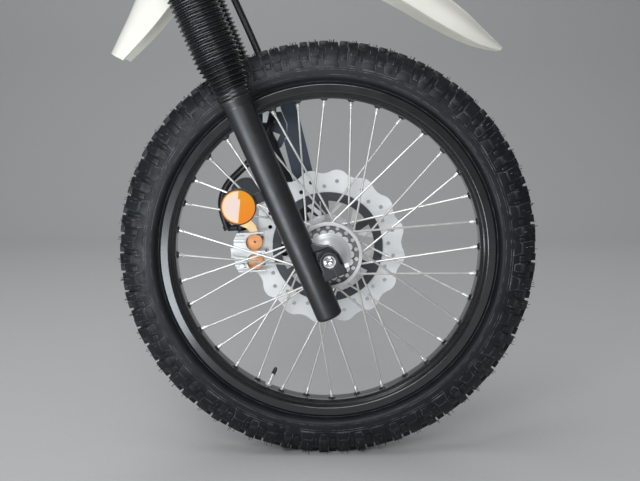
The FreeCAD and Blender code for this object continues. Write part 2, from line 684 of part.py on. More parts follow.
def axle_boss():
    """Shelf with a three-cornered pocket, and a raised ring and pad edged by a groove."""
    raised = LEG_SPREAD - BOSS_FACE
    inside = LEG_SPREAD - BOSS_INNER
    base = boss_face().extrude(ACROSS * (raised + BOSS_SHELF - inside))
    groove = clamp_pad(BOSS_GROOVE_WIDTH, raised - 1, raised + BOSS_GROOVE)
    corners = [(-21, 20), (-19, 24), (-11, 23.5), (-7, 19.5), (-14, 14), (-19, 4), (-19.5, -6), (-21, -6)]
    pocket = plate([(AXLE_LEAD + ahead, up) for ahead, up in corners], raised - 1, raised + BOSS_POCKET)
    return joined([base.cut(groove).cut(pocket), clamp_pad(0, raised, inside)])


def fork_leg(side):
    low = -LEG_BOTTOM
    top = LEG_TOP - COLLAR_HEIGHT
    bore = TUBE_R + FIT
    body = about_leg([(low, 0), (low, LEG_FOOT_R - LEG_EDGE), (low + LEG_EDGE, leg_radius(low + LEG_EDGE)),
                      (top, LEG_R), (top + COLLAR_FLARE, COLLAR_R), (LEG_TOP, COLLAR_R),
                      (LEG_TOP, bore), (WELL_FLOOR, bore), (WELL_FLOOR, 0)])
    well = rod(bore, UP * WELL_FLOOR, UP * LEG_TOP)
    body = joined([body, axle_boss().cut(well)])
    cuts = [across_rod(AXLE_HEAD_R + FIT if side < 0 else AXLE_R + FIT, AXLE_LEAD, 0, -2 * LEG_R, 2 * LEG_R)]
    if side < 0:
        cuts.append(block(AXLE_LEAD, AXLE_LEAD + BOSS_SLIT, -2 * LEG_R, 2 * LEG_R, -LEG_BOTTOM / 2, 0))
        for spot in pinch_spots():
            cuts.append(rod(PINCH_R + PRESS_GAP, spot, spot + AHEAD * LEG_SPREAD))
    body = body.cut(Part.makeCompound(cuts))
    if side > 0:
        body = body.mirror(ORIGIN, ACROSS)
        lugs = []
        for height in CALIPER_LUGS:
            lug = block(-LEG_R - LUG_REACH, 0, -LUG_INNER, -LUG_OUTER, height - LUG_HALF, height + LUG_HALF)
            lugs.append(lug.cut(well))
        body = joined([body] + lugs)
    return on_leg(body, side)


def pinch_spots():
    """Inner ends of the two bolts that close the right boss's slit."""
    inside = LEG_SPREAD - BOSS_INNER
    outside = LEG_SPREAD - BOSS_FACE
    quarter = (inside - outside) / 4
    return [Vector(AXLE_LEAD - 8, outside + quarter, -PINCH_DROP),
            Vector(AXLE_LEAD - 8, inside - quarter, -PINCH_DROP)]


def pinch_bolts():
    bolts = []
    for spot in pinch_spots():
        tip = Vector(BOSS_NOSE + 2 * PINCH_R, spot.y, spot.z)
        bolts.append(rod(PINCH_R, spot, tip))
    return on_leg(Part.makeCompound(bolts), -1)


def axle():
    """Hollow axle with a wider head, sunk a little below the right boss's face."""
    head = ACROSS * (2 - BOSS_FACE)
    step = ACROSS * -BOSS_INNER
    tail = ACROSS * (BOSS_FACE - 2)
    body = joined([rod(AXLE_HEAD_R, head, step), rod(AXLE_R, step, tail)])
    bore = joined([rod(AXLE_BORE_R, head - ACROSS, tail + ACROSS),
                   rod(AXLE_SOCKET_R, head - ACROSS, head + ACROSS * AXLE_SOCKET_DEPTH)])
    return on_axle(body.cut(bore))


def axle_spacers():
    spacers = []
    for side in (-1, 1):
        spacers.append(pipe(SPACER_R, AXLE_R + PRESS_GAP, ACROSS * side * (HUB_END_Y + FIT),
                            ACROSS * side * BOSS_INNER))
    return on_axle(Part.makeCompound(spacers))


# Brake caliper, drawn with +X away from the axle and +Z down along the disc's edge

CALIPER_LUGS = (22.0, 92.0)      # heights above the axle of the left leg's two caliper lugs
LUG_HALF = 11.0
LUG_REACH = 18.0
LUG_INNER = 22.0
LUG_OUTER = 12.0
BRACKET_WALL = 11.5
JAW_FAR_Y = JAW_NEAR_Y + JAW_WALL


def caliper_room(gap):
    half = CALIPER_LENGTH / 2 + gap
    return block(CALIPER_INNER - gap, CALIPER_OUTER + gap, JAW_NEAR_Y - gap, CALIPER_FAR_Y + gap,
                 -half, half)


def caliper_body():
    """Two jaws over the disc's edge, joined by a bridge, with two windows in the near jaw."""
    half = CALIPER_LENGTH / 2
    body = caliper_room(0)
    slot = block(0, CALIPER_BRIDGE, JAW_FAR_Y, DISC_Y + PAD_SPACE, -half - 1, half + 1)
    corner = 14.0
    cuts = [slot]
    for turn in (-1, 1):
        bevel = [(CALIPER_OUTER + 1, turn * (half + 1)), (CALIPER_OUTER + 1, turn * (half - corner)),
                 (CALIPER_OUTER - corner / 2, turn * (half + 1))]
        cuts.append(plate(bevel, 0, 2 * CALIPER_FAR_Y))
        centre = turn * WINDOW_SHIFT
        cuts.append(across_rod(WINDOW_R, WINDOW_REACH, centre, JAW_NEAR_Y - 1, JAW_FAR_Y + 1))
        cuts.append(block(0, WINDOW_REACH, JAW_NEAR_Y - 1, JAW_FAR_Y + 1,
                          centre - WINDOW_R, centre + WINDOW_R))
        for fin in range(3):
            middle = turn * (half - FIN_PITCH * (fin + 0.8))
            cuts.append(block(CALIPER_OUTER - 20, CALIPER_OUTER + 1, JAW_NEAR_Y - 1, JAW_NEAR_Y + FIN_DEPTH,
                              middle - FIN_SLOT / 2, middle + FIN_SLOT / 2))
    body = body.cut(Part.makeCompound(cuts))
    extras = [block(CALIPER_OUTER - 1, CALIPER_OUTER + 6, JAW_NEAR_Y + 4, DISC_Y,
                    -PISTON_R / 2, PISTON_R / 2)]
    for turn in (-1, 1):
        extras.append(across_rod(PISTON_R, WINDOW_REACH + 4, turn * WINDOW_SHIFT, CALIPER_FAR_Y - 1,
                                 CALIPER_FAR_Y + PISTON_HEIGHT))
    screw = across_rod(4.5, CALIPER_OUTER - 12.5, half - 11, JAW_NEAR_Y - 1, JAW_NEAR_Y + FIN_DEPTH + 1)
    return on_caliper(joined([body, screw] + extras))


def brake_pads():
    """Two pads with a pair of round lobes, each lobe with a small hole."""
    disc_gap = DISC_THICKNESS / 2 + FIT
    half = CALIPER_LENGTH / 2 - 4
    pads = []
    for y0, y1 in ((JAW_FAR_Y + FIT, DISC_Y - disc_gap), (DISC_Y + disc_gap, DISC_Y + PAD_SPACE - FIT)):
        parts = [block(WINDOW_REACH - 4, PAD_OUTER, y0, y1, -half, half)]
        holes = []
        for turn in (-1, 1):
            centre = turn * WINDOW_SHIFT
            parts.append(across_rod(WINDOW_REACH - PAD_INNER, WINDOW_REACH, centre, y0, y1))
            holes.append(across_rod(1.8, WINDOW_REACH - 0.5, centre, y0 - 1, y1 + 1))
        pads.append(joined(parts).cut(Part.makeCompound(holes)))
    return on_caliper(Part.makeCompound(pads))


def pad_spring():
    """Bent sheet at the caliper's upper end, with a foot on it."""
    seat = -CALIPER_LENGTH / 2 - PRESS_GAP
    near = JAW_NEAR_Y + JAW_WALL / 2
    far = DISC_NEAR_Y - 2
    reach = DISC_TIP_R - 16.5
    corners = [(0, 0), (15, 0), (17, 6), (30, 12), (16, 17), (11, 21), (3, 11)]
    leaf = plate([(reach + out, seat - rise) for out, rise in corners], near, near + SPRING_SHEET)
    foot = block(reach, reach + 15, near, far, seat - SPRING_SHEET, seat)
    return on_caliper(joined([leaf, foot]))


def caliper_bracket():
    """Plate between the left leg's lugs and the caliper."""
    low, high = CALIPER_LUGS
    edge = -LEG_R - 4
    points = [(edge, low - LUG_HALF), (edge, high + LUG_HALF), (edge - LUG_REACH - 4, high + LUG_HALF),
              (edge - 2 * LUG_REACH, high - 2 * LUG_HALF), (edge - 2 * LUG_REACH, low - LUG_HALF)]
    body = plate(points, -LUG_INNER - BRACKET_WALL, -LUG_INNER - FIT)
    body = on_leg(body, 1)
    return body.cut(on_caliper(caliper_room(FIT)))


# Reflectors, one on each leg

def reflector_housing(side):
    """Cup with an arm to its leg, open on the outer side."""
    face = side * REFLECTOR_DEPTH
    floor = side * LENS_FLOOR
    cup = across_rod(REFLECTOR_R, -REFLECTOR_BACK, REFLECTOR_HEIGHT, 0, face)
    lens_well = across_rod(LENS_R + FIT, -REFLECTOR_BACK, REFLECTOR_HEIGHT, floor, face)
    arm = block(-REFLECTOR_BACK, 0, min(0, floor), max(0, floor),
                REFLECTOR_HEIGHT - REFLECTOR_ARM, REFLECTOR_HEIGHT + REFLECTOR_ARM)
    return on_leg(joined([cup.cut(lens_well), arm.cut(leg_room())]), side)


def reflector_lens(side):
    lens = across_rod(LENS_R, -REFLECTOR_BACK, REFLECTOR_HEIGHT, side * (LENS_FLOOR + FIT),
                      side * (REFLECTOR_DEPTH + LENS_RISE))
    return on_leg(lens, side)


# Left leg's disc guard and the brake hose

# front edge down, then rear edge up, ahead of and above the leg's axis at the axle's level
GUARD_OUTLINE = [(83.8, 277.4), (80.5, 250.3), (75.2, 222.2), (67.5, 172.9), (60.6, 131.7), (54.4, 98.6),
                 (48.3, 66.4), (36.8, 46.1), (27.4, 59.8), (23.6, 91.8), (23.7, 125.8), (28.8, 159.9),
                 (34.3, 193.1), (40.9, 196.2), (51.2, 217.5), (50.9, 240.5), (54.8, 276.6)]
GUARD_FOOT = [(0, 61), (0, 79), (31, 80), (31, 62)]
GUARD_BRACKET = [(0, 178), (14.2, 181.5), (27.1, 185.9), (34.9, 193.1), (43.7, 202.3), (50, 218.4),
                 (50, 241.4), (37.6, 246.2), (12.8, 235.5), (0, 232)]
GUARD_BRACKET_GAP = [(22.5, 215.7), (33, 206), (23.5, 197.5)]


def disc_guard():
    """Blade ahead of the left leg, with a foot and a pierced bracket back to the leg."""
    parts = [plate(points, 1, 1 + GUARD_WALL) for points in (GUARD_OUTLINE, GUARD_FOOT, GUARD_BRACKET)]
    gap = plate(GUARD_BRACKET_GAP, 0, 2 + GUARD_WALL)
    return on_leg(joined(parts).cut(leg_room()).cut(gap), 1)


def rounded_route(points):
    """Straight runs joined by tangent arcs, each as large as its two runs allow."""
    edges = []
    start = points[0]
    for before, corner, after in zip(points, points[1:], points[2:]):
        back = (before - corner)
        on = (after - corner)
        shorter = min(back.Length, on.Length)
        half_turn = (math.pi - back.getAngle(on)) / 2
        trim = 0.45 * shorter
        radius = trim / math.tan(half_turn)
        first = corner + back.normalize() * trim
        last = corner + on.normalize() * trim
        to_middle = (back + on).normalize()
        depth = radius / math.cos(half_turn) - radius
        middle = corner + to_middle * depth
        edges.append(Part.LineSegment(start, first).toShape())
        edges.append(Part.Arc(first, middle, last).toShape())
        start = last
    edges.append(Part.LineSegment(start, points[-1]).toShape())
    return Part.Wire(edges)


def swept_tube(points, radius):
    route = rounded_route(points)
    ring = Part.Wire(Part.makeCircle(radius, points[0], points[1] - points[0]))
    return route.makePipeShell([ring], True, False)


# Route of the brake hose, from the caliper's union to its sleeve by the lower yoke,
# with the axle's middle as its zero: (ahead, left, above).
HOSE_ROUTE = [(-174, 66, 35), (-182, 67, 56), (-183, 69, 82), (-172, 73, 107), (-150, 74, 128),
              (-128, 66, 150), (-110, 63, 180), (-97, 68, 208), (-92, 84, 236), (-97, 95, 272),
              (-116, 98, 325), (-157, 98, 416), (-186, 90, 478), (-208, 74, 512)]


def brake_hose():
    points = [Vector(*point) for point in HOSE_ROUTE]
    return on_axle(swept_tube(points, HOSE_R))


def hose_fittings():
    """Union at the caliper and end sleeve near the lower yoke."""
    foot = Vector(*HOSE_ROUTE[0])
    out = polar(1, CALIPER_ANGLE, 0)
    rise = Vector(out.z, 0, -out.x)
    seat = out * UNION_REACH + rise * (CALIPER_LENGTH / 2 + FIT) + ACROSS * foot.y
    sleeve_r = HOSE_R + FERRULE_WALL
    eye = rod(UNION_R + 2.5, seat, seat + rise * 9)
    head = rod(UNION_R, seat, seat + rise * 15)
    back = (foot - Vector(*HOSE_ROUTE[1])).normalize()
    ferrule = rod(sleeve_r, foot, foot + back * 8)
    neck = rod(HOSE_R, foot + back * 7, seat + rise * 5)
    top = Vector(*HOSE_ROUTE[-1])
    back = (top - Vector(*HOSE_ROUTE[-2])).normalize()
    sleeve = rod(sleeve_r, top, top + back * 16)
    union = joined([ferrule, eye, head, neck]).cut(rod(30, seat, seat - rise * 20))
    return on_axle(Part.makeCompound([union, sleeve]))


# Hose clamp: (ahead, above) of its middle from the leg's axis at the axle's level
CLAMP_PLACE = (28.6, 244.9)
CLAMP_HALF_WIDTH = 10.0
CLAMP_HALF_HEIGHT = 13.0


def hose_guide():
    """Cast clamp between the left leg and the guard, round the hose."""
    body = block(-CLAMP_HALF_WIDTH, CLAMP_HALF_WIDTH, -21, 6, -CLAMP_HALF_HEIGHT, CLAMP_HALF_HEIGHT)
    body.rotate(ORIGIN, ACROSS, RAKE)
    ahead, above = CLAMP_PLACE
    body.translate(Vector(ahead, 0, above))
    stalk = block(0, ahead, -8, 0, above - 7, above + 7)
    body = joined([body, stalk]).cut(leg_room())
    body = on_leg(body, 1).cut(disc_guard())
    points = [Vector(*point) for point in HOSE_ROUTE]
    return body.cut(on_axle(swept_tube(points, HOSE_R + FIT)))


# Mudguard

# Stations along the crown, from the bearing seat: ahead, above, slope in degrees,
# half width, depth of the sides
MUDGUARD_STATIONS = [
    (-59.4, -220.6, 63, 34, 26),
    (-31.4, -165.5, 63, 44, 46),
    (-2.8, -109.5, 63, 50, 62),
    (49.1, -48.8, 36, 54, 62),
    (149.6, -16.1, 0, 60, 58),
    (287.6, -34.3, -15, 68, 57),
    (399.8, -78.5, -28, 66, 55),
    (495.6, -143.6, -40.5, 54, 45),
    (541.6, -184.1, -42, 36, 28),
    (570.6, -210.1, -42, 14, 8),
]
CROWN_SHOULDER = 0.42    # share of a side's depth taken by the crown's arc
CROWN_SHARE = 0.93       # share of the half width that the arc spans


def mudguard_form(inset):
    """The blade's filled outer form, or the space inside it when inset by the wall."""
    sections = []
    for ahead, above, slope, half_width, depth in MUDGUARD_STATIONS:
        half = half_width - inset
        shoulder = CROWN_SHOULDER * depth + inset
        low = depth + 4 * inset
        corners = [(-half, -low), (-CROWN_SHARE * half, -shoulder), (0, -inset),
                   (CROWN_SHARE * half, -shoulder), (half, -low)]
        angle = math.radians(slope)
        out = Vector(-math.sin(angle), 0, math.cos(angle))
        spots = [Vector(ahead, across, above) + out * height for across, height in corners]
        edges = [Part.LineSegment(spots[0], spots[1]).toShape(),
                 Part.Arc(spots[1], spots[2], spots[3]).toShape(),
                 Part.LineSegment(spots[3], spots[4]).toShape(),
                 Part.LineSegment(spots[4], spots[0]).toShape()]
        sections.append(Part.Wire(edges))
    return Part.makeLoft(sections, True, True)


def mudguard():
    return mudguard_form(0).cut(mudguard_form(MUDGUARD_WALL))


BRACKET_LENGTH = 74.0
BRACKET_HALF_WIDTH = 32.0
BRACKET_PLATE = 5.0
POST_R = 7.0


def mudguard_bracket():
    """Plate bolted under the lower yoke, with four posts down to the mudguard's crown."""
    top = YOKE_BOTTOM - FIT
    low = top - BRACKET_PLATE
    parts = [block(2, 2 + BRACKET_LENGTH, -BRACKET_HALF_WIDTH, BRACKET_HALF_WIDTH, low, top)]
    for ahead in (22, BRACKET_LENGTH - 8):
        for across in (-24, 24):
            spot = Vector(ahead, across, low)
            parts.append(rod(POST_R, spot + UP, spot - UP * 50))
    return lean(joined(parts)).cut(mudguard_form(0))


def export(name, shape):
    if not shape.isValid():
        print("invalid", name)
    shape.exportStep("parts/" + name + ".step")
    print(name, len(shape.Solids), round(shape.Volume / 1000.0, 2))


def main():
    os.makedirs("parts", exist_ok=True)
    pieces = {
        "tyre": tyre(),
        "rim": rim(),
        "hub": hub(),
        "spokes_right_trailing": spokes(-1, 1),
        "spokes_right_leading": spokes(-1, -1),
        "spokes_left_trailing": spokes(1, 1),
        "spokes_left_leading": spokes(1, -1),
        "spoke_nipples": nipples(),
        "brake_disc": brake_disc(),
        "disc_carrier": disc_carrier(),
        "disc_bolts": disc_bolts(),
        "valve_stem": valve_stem(),
        "steering_stem": steering_stem(),
        "lower_yoke": lower_yoke(),
        "fork_tube_right": fork_tube(-1),
        "fork_tube_left": fork_tube(1),
        "fork_cap_right": fork_cap(-1),
        "fork_cap_left": fork_cap(1),
        "gaiter_right": gaiter(-1),
        "gaiter_left": gaiter(1),
        "fork_leg_right": fork_leg(-1),
        "fork_leg_left": fork_leg(1),
        "pinch_bolts": pinch_bolts(),
        "axle": axle(),
        "axle_spacers": axle_spacers(),
        "caliper_body": caliper_body(),
        "brake_pads": brake_pads(),
        "pad_spring": pad_spring(),
        "caliper_bracket": caliper_bracket(),
        "reflector_right": reflector_housing(-1),
        "reflector_left": reflector_housing(1),
        "reflector_lens_right": reflector_lens(-1),
        "reflector_lens_left": reflector_lens(1),
        "disc_guard": disc_guard(),
        "brake_hose": brake_hose(),
        "hose_fittings": hose_fittings(),
        "hose_guide": hose_guide(),
        "mudguard": mudguard(),
        "mudguard_bracket": mudguard_bracket(),
    }
    for name, shape in pieces.items():
        export(name, shape)


main()
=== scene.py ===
import json
import math
import random

import bmesh
import bpy
from mathutils import Matrix, Vector


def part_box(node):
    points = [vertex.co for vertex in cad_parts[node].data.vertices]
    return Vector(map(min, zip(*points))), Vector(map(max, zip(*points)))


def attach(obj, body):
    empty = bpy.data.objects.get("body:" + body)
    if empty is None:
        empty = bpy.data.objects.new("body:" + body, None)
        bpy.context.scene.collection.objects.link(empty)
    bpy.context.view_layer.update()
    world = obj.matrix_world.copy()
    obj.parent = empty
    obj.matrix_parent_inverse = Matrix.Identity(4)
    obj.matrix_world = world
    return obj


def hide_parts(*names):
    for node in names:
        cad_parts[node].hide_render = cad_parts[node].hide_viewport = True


# Looks of the motorcycle's front wheel and fork, in metres, in the CAD's own frame.
# +X is forward, +Y the bike's left and +Z up.

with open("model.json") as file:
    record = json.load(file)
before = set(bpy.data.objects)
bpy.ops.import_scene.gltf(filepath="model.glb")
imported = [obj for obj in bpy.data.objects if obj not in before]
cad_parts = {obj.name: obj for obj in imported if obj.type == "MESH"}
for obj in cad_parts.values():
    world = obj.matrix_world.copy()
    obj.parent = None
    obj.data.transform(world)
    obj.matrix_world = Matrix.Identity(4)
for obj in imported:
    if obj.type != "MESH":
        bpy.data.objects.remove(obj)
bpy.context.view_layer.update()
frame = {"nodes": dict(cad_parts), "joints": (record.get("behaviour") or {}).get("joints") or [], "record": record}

AXLE = Vector(frame["joints"][0]["pos_m"])
RAKE = math.radians(23.0)
FORK_UP = Vector((-math.sin(RAKE), 0, math.cos(RAKE)))
FORK_AHEAD = Vector((math.cos(RAKE), 0, math.sin(RAKE)))
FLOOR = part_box("tyre")[0].z
REFLECTOR_MIDDLE = sum(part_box("reflector_lens_right"), Vector()) / 2


# Node helpers

def add(tree, kind, inputs=None, **settings):
    """Adds one node. inputs maps a socket's name or number to a value or to another socket."""
    node = tree.nodes.new(kind)
    for name, value in settings.items():
        setattr(node, name, value)
    for socket, value in (inputs or {}).items():
        if isinstance(value, bpy.types.NodeSocket):
            tree.links.new(value, node.inputs[socket])
        else:
            node.inputs[socket].default_value = value
    return node


def maths(tree, operation, first, second=0.0, third=0.0, clamp=False):
    node = add(tree, "ShaderNodeMath", {0: first, 1: second, 2: third}, operation=operation)
    node.use_clamp = clamp
    return node.outputs[0]


def remap(tree, value, low, high, to_low=0.0, to_high=1.0):
    inputs = {"Value": value, "From Min": low, "From Max": high, "To Min": to_low, "To Max": to_high}
    return add(tree, "ShaderNodeMapRange", inputs).outputs[0]


def mixed(tree, factor, first, second):
    node = add(tree, "ShaderNodeMix", {"Factor": factor, "A": first, "B": second}, data_type="RGBA")
    return node.outputs["Result"]


def group_of(name, inputs, outputs):
    """Starts a node group. inputs maps names to a float or a colour, outputs to a socket's kind."""
    tree = bpy.data.node_groups.new(name, "ShaderNodeTree")
    for label, default in inputs.items():
        kind = "NodeSocketColor" if isinstance(default, tuple) else "NodeSocketFloat"
        tree.interface.new_socket(label, in_out="INPUT", socket_type=kind).default_value = default
    for label, kind in outputs.items():
        tree.interface.new_socket(label, in_out="OUTPUT", socket_type=kind)
    start = tree.nodes.new("NodeGroupInput")
    end = tree.nodes.new("NodeGroupOutput")
    return tree, start.outputs, end.inputs


def place(tree, group, inputs):
    """Puts a node group in a material."""
    return add(tree, "ShaderNodeGroup", inputs, node_tree=group).outputs


def noise(tree, vector, scale, detail=3.0, roughness=0.55):
    inputs = {"Vector": vector, "Scale": scale, "Detail": detail, "Roughness": roughness}
    return add(tree, "ShaderNodeTexNoise", inputs).outputs["Fac"]


def object_place(tree):
    return add(tree, "ShaderNodeTexCoord").outputs["Object"]


def from_point(tree, point):
    """The surface's place measured from a point, as X, Y and Z."""
    inputs = {0: object_place(tree), 1: point}
    off = add(tree, "ShaderNodeVectorMath", inputs, operation="SUBTRACT").outputs[0]
    return add(tree, "ShaderNodeSeparateXYZ", {0: off}).outputs


def across_radius(tree, parts):
    """Distance from the Y axis through the point that parts are measured from."""
    squared = maths(tree, "MULTIPLY", parts["Z"], parts["Z"])
    return maths(tree, "SQRT", maths(tree, "MULTIPLY_ADD", parts["X"], parts["X"], squared))


def rgba(color):
    return (*color, 1)


# Node groups, each an effect that several materials share

def make_mottle():
    """Soft blotches between two tints, as old paint, rubber and cast metal have."""
    tree, given, out = group_of("mottle", {"Scale": 20.0, "Amount": 0.5, "Base": (0.5, 0.5, 0.5, 1),
                                           "Tint": (0.6, 0.6, 0.6, 1)}, {"Color": "NodeSocketColor"})
    spot = noise(tree, object_place(tree), given["Scale"], 6.0, 0.62)
    mask = remap(tree, spot, 0.38, 0.66)
    factor = maths(tree, "MULTIPLY", mask, given["Amount"])
    tree.links.new(mixed(tree, factor, given["Base"], given["Tint"]), out["Color"])
    return tree


def make_dust():
    """Mask of dust: more on faces that look up, broken by noise."""
    tree, given, out = group_of("dust", {"Amount": 0.5, "Scale": 35.0}, {"Mask": "NodeSocketFloat"})
    normal = add(tree, "ShaderNodeNewGeometry").outputs["Normal"]
    facing = add(tree, "ShaderNodeSeparateXYZ", {0: normal}).outputs["Z"]
    upward = remap(tree, facing, -0.4, 1.0)
    spot = noise(tree, object_place(tree), given["Scale"], 8.0, 0.65)
    broken = remap(tree, spot, 0.35, 0.75)
    both = maths(tree, "MULTIPLY_ADD", upward, broken, maths(tree, "MULTIPLY", broken, 0.35))
    tree.links.new(maths(tree, "MULTIPLY", both, given["Amount"], clamp=True), out["Mask"])
    return tree


def make_edge_wear_and_highlight():
    """Mask of rubbed edges, also a painted highlight on them, from how far a rounded normal turns from the face's
    own.
    """
    tree, given, out = group_of("edge_wear_and_highlight", {"Width": 0.0015, "Amount": 0.6, "Scale": 60.0},
                                {"Mask": "NodeSocketFloat"})
    rounded = add(tree, "ShaderNodeBevel", {"Radius": given["Width"]}, samples=4).outputs[0]
    normal = add(tree, "ShaderNodeNewGeometry").outputs["Normal"]
    alike = add(tree, "ShaderNodeVectorMath", {0: rounded, 1: normal}, operation="DOT_PRODUCT")
    turned = remap(tree, alike.outputs["Value"], 0.995, 0.90)
    spot = noise(tree, object_place(tree), given["Scale"], 5.0)
    broken = remap(tree, spot, 0.42, 0.62)
    worn_and_lit = maths(tree, "MULTIPLY", turned, broken)
    tree.links.new(maths(tree, "MULTIPLY", worn_and_lit, given["Amount"], clamp=True), out["Mask"])
    return tree


def make_grain():
    """Height of a fine grain with a slower wave under it, for a Bump node."""
    tree, given, out = group_of("grain", {"Scale": 900.0, "Wave": 40.0, "Wave Share": 0.3},
                                {"Height": "NodeSocketFloat"})
    spot = object_place(tree)
    fine = noise(tree, spot, given["Scale"], 2.0)
    slow = noise(tree, spot, given["Wave"], 3.0)
    waved = maths(tree, "MULTIPLY_ADD", slow, given["Wave Share"], fine)
    tree.links.new(waved, out["Height"])
    return tree


def make_turned():
    """Height and shade of fine rings about the axle, as a ground disc or a turned hub has."""
    tree, given, out = group_of("turned", {"Rings": 1500.0},
                                {"Height": "NodeSocketFloat", "Shade": "NodeSocketFloat"})
    parts = from_point(tree, AXLE)
    flat = add(tree, "ShaderNodeCombineXYZ", {0: parts["X"], 1: parts["Z"]}).outputs[0]
    radius = add(tree, "ShaderNodeVectorMath", {0: flat}, operation="LENGTH").outputs["Value"]
    line = add(tree, "ShaderNodeCombineXYZ", {0: radius, 1: parts["Y"]}).outputs[0]
    ring = noise(tree, line, given["Rings"], 2.0)
    tree.links.new(ring, out["Height"])
    tree.links.new(remap(tree, ring, 0.3, 0.7), out["Shade"])
    return tree


MOTTLE = make_mottle()
DUST = make_dust()
EDGE_WEAR_AND_HIGHLIGHT = make_edge_wear_and_highlight()
GRAIN = make_grain()
TURNED = make_turned()


# Materials

def start_material(name, color, roughness, metallic=0.0):
    material = bpy.data.materials.new(name)
    material.use_nodes = True
    tree = material.node_tree
    shader = tree.nodes["Principled BSDF"]
    shader.inputs["Base Color"].default_value = rgba(color)
    shader.inputs["Roughness"].default_value = roughness
    shader.inputs["Metallic"].default_value = metallic
    return material, tree, shader


def bump(tree, shader, height, strength, distance, soft=0.0):
    """Bumps a surface. soft is the radius at which its hard edges catch light."""
    inputs = {"Height": height, "Strength": strength, "Distance": distance}
    if soft:
        inputs["Normal"] = add(tree, "ShaderNodeBevel", {"Radius": soft}, samples=6).outputs[0]
    node = add(tree, "ShaderNodeBump", inputs)
    tree.links.new(node.outputs[0], shader.inputs["Normal"])


def finish_in(name, color, tint, roughness, metallic=0.0, mottle=25.0, dust=0.0,
              dust_color=(0.30, 0.28, 0.25), wear_and_highlight=0.0, wear_and_highlight_color=(0.45, 0.45, 0.46), wear_width=0.0012,
              grain=900.0, depth=0.00015, coat=0.0, soft=0.0, gloss=0.5):
    """A painted, moulded or cast finish: mottled colour, dust, rubbed edges lightened as wear and as a painted
    highlight, and a fine grain.
    """
    material, tree, shader = start_material(name, color, roughness, metallic)
    shader.inputs["Specular IOR Level"].default_value = gloss
    tints = {"Scale": mottle, "Amount": 0.6, "Base": rgba(color), "Tint": rgba(tint)}
    shade = place(tree, MOTTLE, tints)["Color"]
    rough = remap(tree, noise(tree, object_place(tree), mottle * 2.2, 4.0), 0.3, 0.7,
                  roughness * 0.85, min(1.0, roughness * 1.2))
    # lighter rubbed edges: wear, and a painted highlight on the edges
    if wear_and_highlight:
        mask = place(tree, EDGE_WEAR_AND_HIGHLIGHT, {"Width": wear_width, "Amount": wear_and_highlight, "Scale": 70.0})["Mask"]
        shade = mixed(tree, mask, shade, rgba(wear_and_highlight_color))
    if dust:
        mask = place(tree, DUST, {"Amount": dust, "Scale": 30.0})["Mask"]
        shade = mixed(tree, mask, shade, rgba(dust_color))
        rough = maths(tree, "MULTIPLY_ADD", mask, 0.35, rough, clamp=True)
    tree.links.new(shade, shader.inputs["Base Color"])
    tree.links.new(rough, shader.inputs["Roughness"])
    if coat:
        shader.inputs["Coat Weight"].default_value = coat
        shader.inputs["Coat Roughness"].default_value = 0.12
    height = place(tree, GRAIN, {"Scale": grain, "Wave": 40.0, "Wave Share": 0.4})["Height"]
    bump(tree, shader, height, 0.35, depth, soft)
    return material


def turned_metal(name, color, roughness, metallic):
    """Metal ground in fine rings about the axle, a little darker and rougher between them."""
    material, tree, shader = start_material(name, color, roughness, metallic)
    ring = place(tree, TURNED, {"Rings": 1500.0})
    darker = tuple(part * 0.82 for part in color)
    tree.links.new(mixed(tree, ring["Shade"], rgba(darker), rgba(color)), shader.inputs["Base Color"])
    tree.links.new(remap(tree, ring["Shade"], 0.0, 1.0, roughness * 1.2, roughness * 0.85),
                   shader.inputs["Roughness"])
    bump(tree, shader, ring["Height"], 0.3, 0.00004)
    return material


# the lens's deep field and its field with a painted reflection, in metres from its middle
LENS_FIELD_R = 0.0240    # where the plain border starts
LENS_STEP_UP = 0.0118    # height at which the line between the fields steps back
LENS_LINE_LEAN = 0.10    # how far that line leans ahead per height
DEEP_LOW = (0.74, 0.19, 0.004)
DEEP_HIGH = (0.68, 0.25, 0.010)
# colours of the painted reflection on the field behind, from its middle to its rim, and of a painted highlight
# line along its front edge
REFLECTION_MIDDLE = (0.74, 0.58, 0.52)
REFLECTION_RIM = (0.80, 0.60, 0.38)
REFLECTION_LINE = (0.86, 0.62, 0.30)


def amber():
    """Amber lens of fine prisms: a deep field ahead, a field behind it painted pale as a reflection, and a border.
    """
    material, tree, shader = start_material("amber_lens", (0.72, 0.21, 0.008), 0.16)
    parts = from_point(tree, REFLECTOR_MIDDLE)
    radius = across_radius(tree, parts)
    step = remap(tree, parts["Z"], LENS_STEP_UP, LENS_STEP_UP + 0.0007, 0.0022, -0.0016)
    lean = maths(tree, "MULTIPLY_ADD", parts["Z"], LENS_LINE_LEAN, step)
    edge = maths(tree, "SUBTRACT", parts["X"], lean)
    # the field behind the leaning line carries a painted reflection, with a thin painted highlight along that line
    pale = remap(tree, edge, 0.0003, -0.0003)
    line = maths(tree, "MULTIPLY", remap(tree, edge, -0.0018, -0.0008), pale)
    inside = remap(tree, radius, LENS_FIELD_R + 0.0006, LENS_FIELD_R)
    deep = mixed(tree, remap(tree, parts["Z"], -LENS_FIELD_R, 0.02), rgba(DEEP_LOW), rgba(DEEP_HIGH))
    painted_reflection = mixed(tree, remap(tree, radius, 0.015, LENS_FIELD_R), rgba(REFLECTION_MIDDLE), rgba(REFLECTION_RIM))
    painted_reflection = mixed(tree, line, painted_reflection, rgba(REFLECTION_LINE))
    shade = mixed(tree, maths(tree, "MULTIPLY", pale, inside), deep, painted_reflection)
    tree.links.new(shade, shader.inputs["Base Color"])
    spot = add(tree, "ShaderNodeTexVoronoi", {"Vector": object_place(tree), "Scale": 420.0})
    bump(tree, shader, spot.outputs["Distance"], 0.12, 0.0004)
    return material


# parts of the hub painted darker, as painted shade with brake dust, in metres from its middle plane or from the
# axle
HUB_RECESS_OUTER = 0.0395
HUB_RECESS_INNER = 0.036
HUB_RECESS_R = 0.0490
HUB_BARREL_END = 0.030
HUB_BARREL_R = 0.030


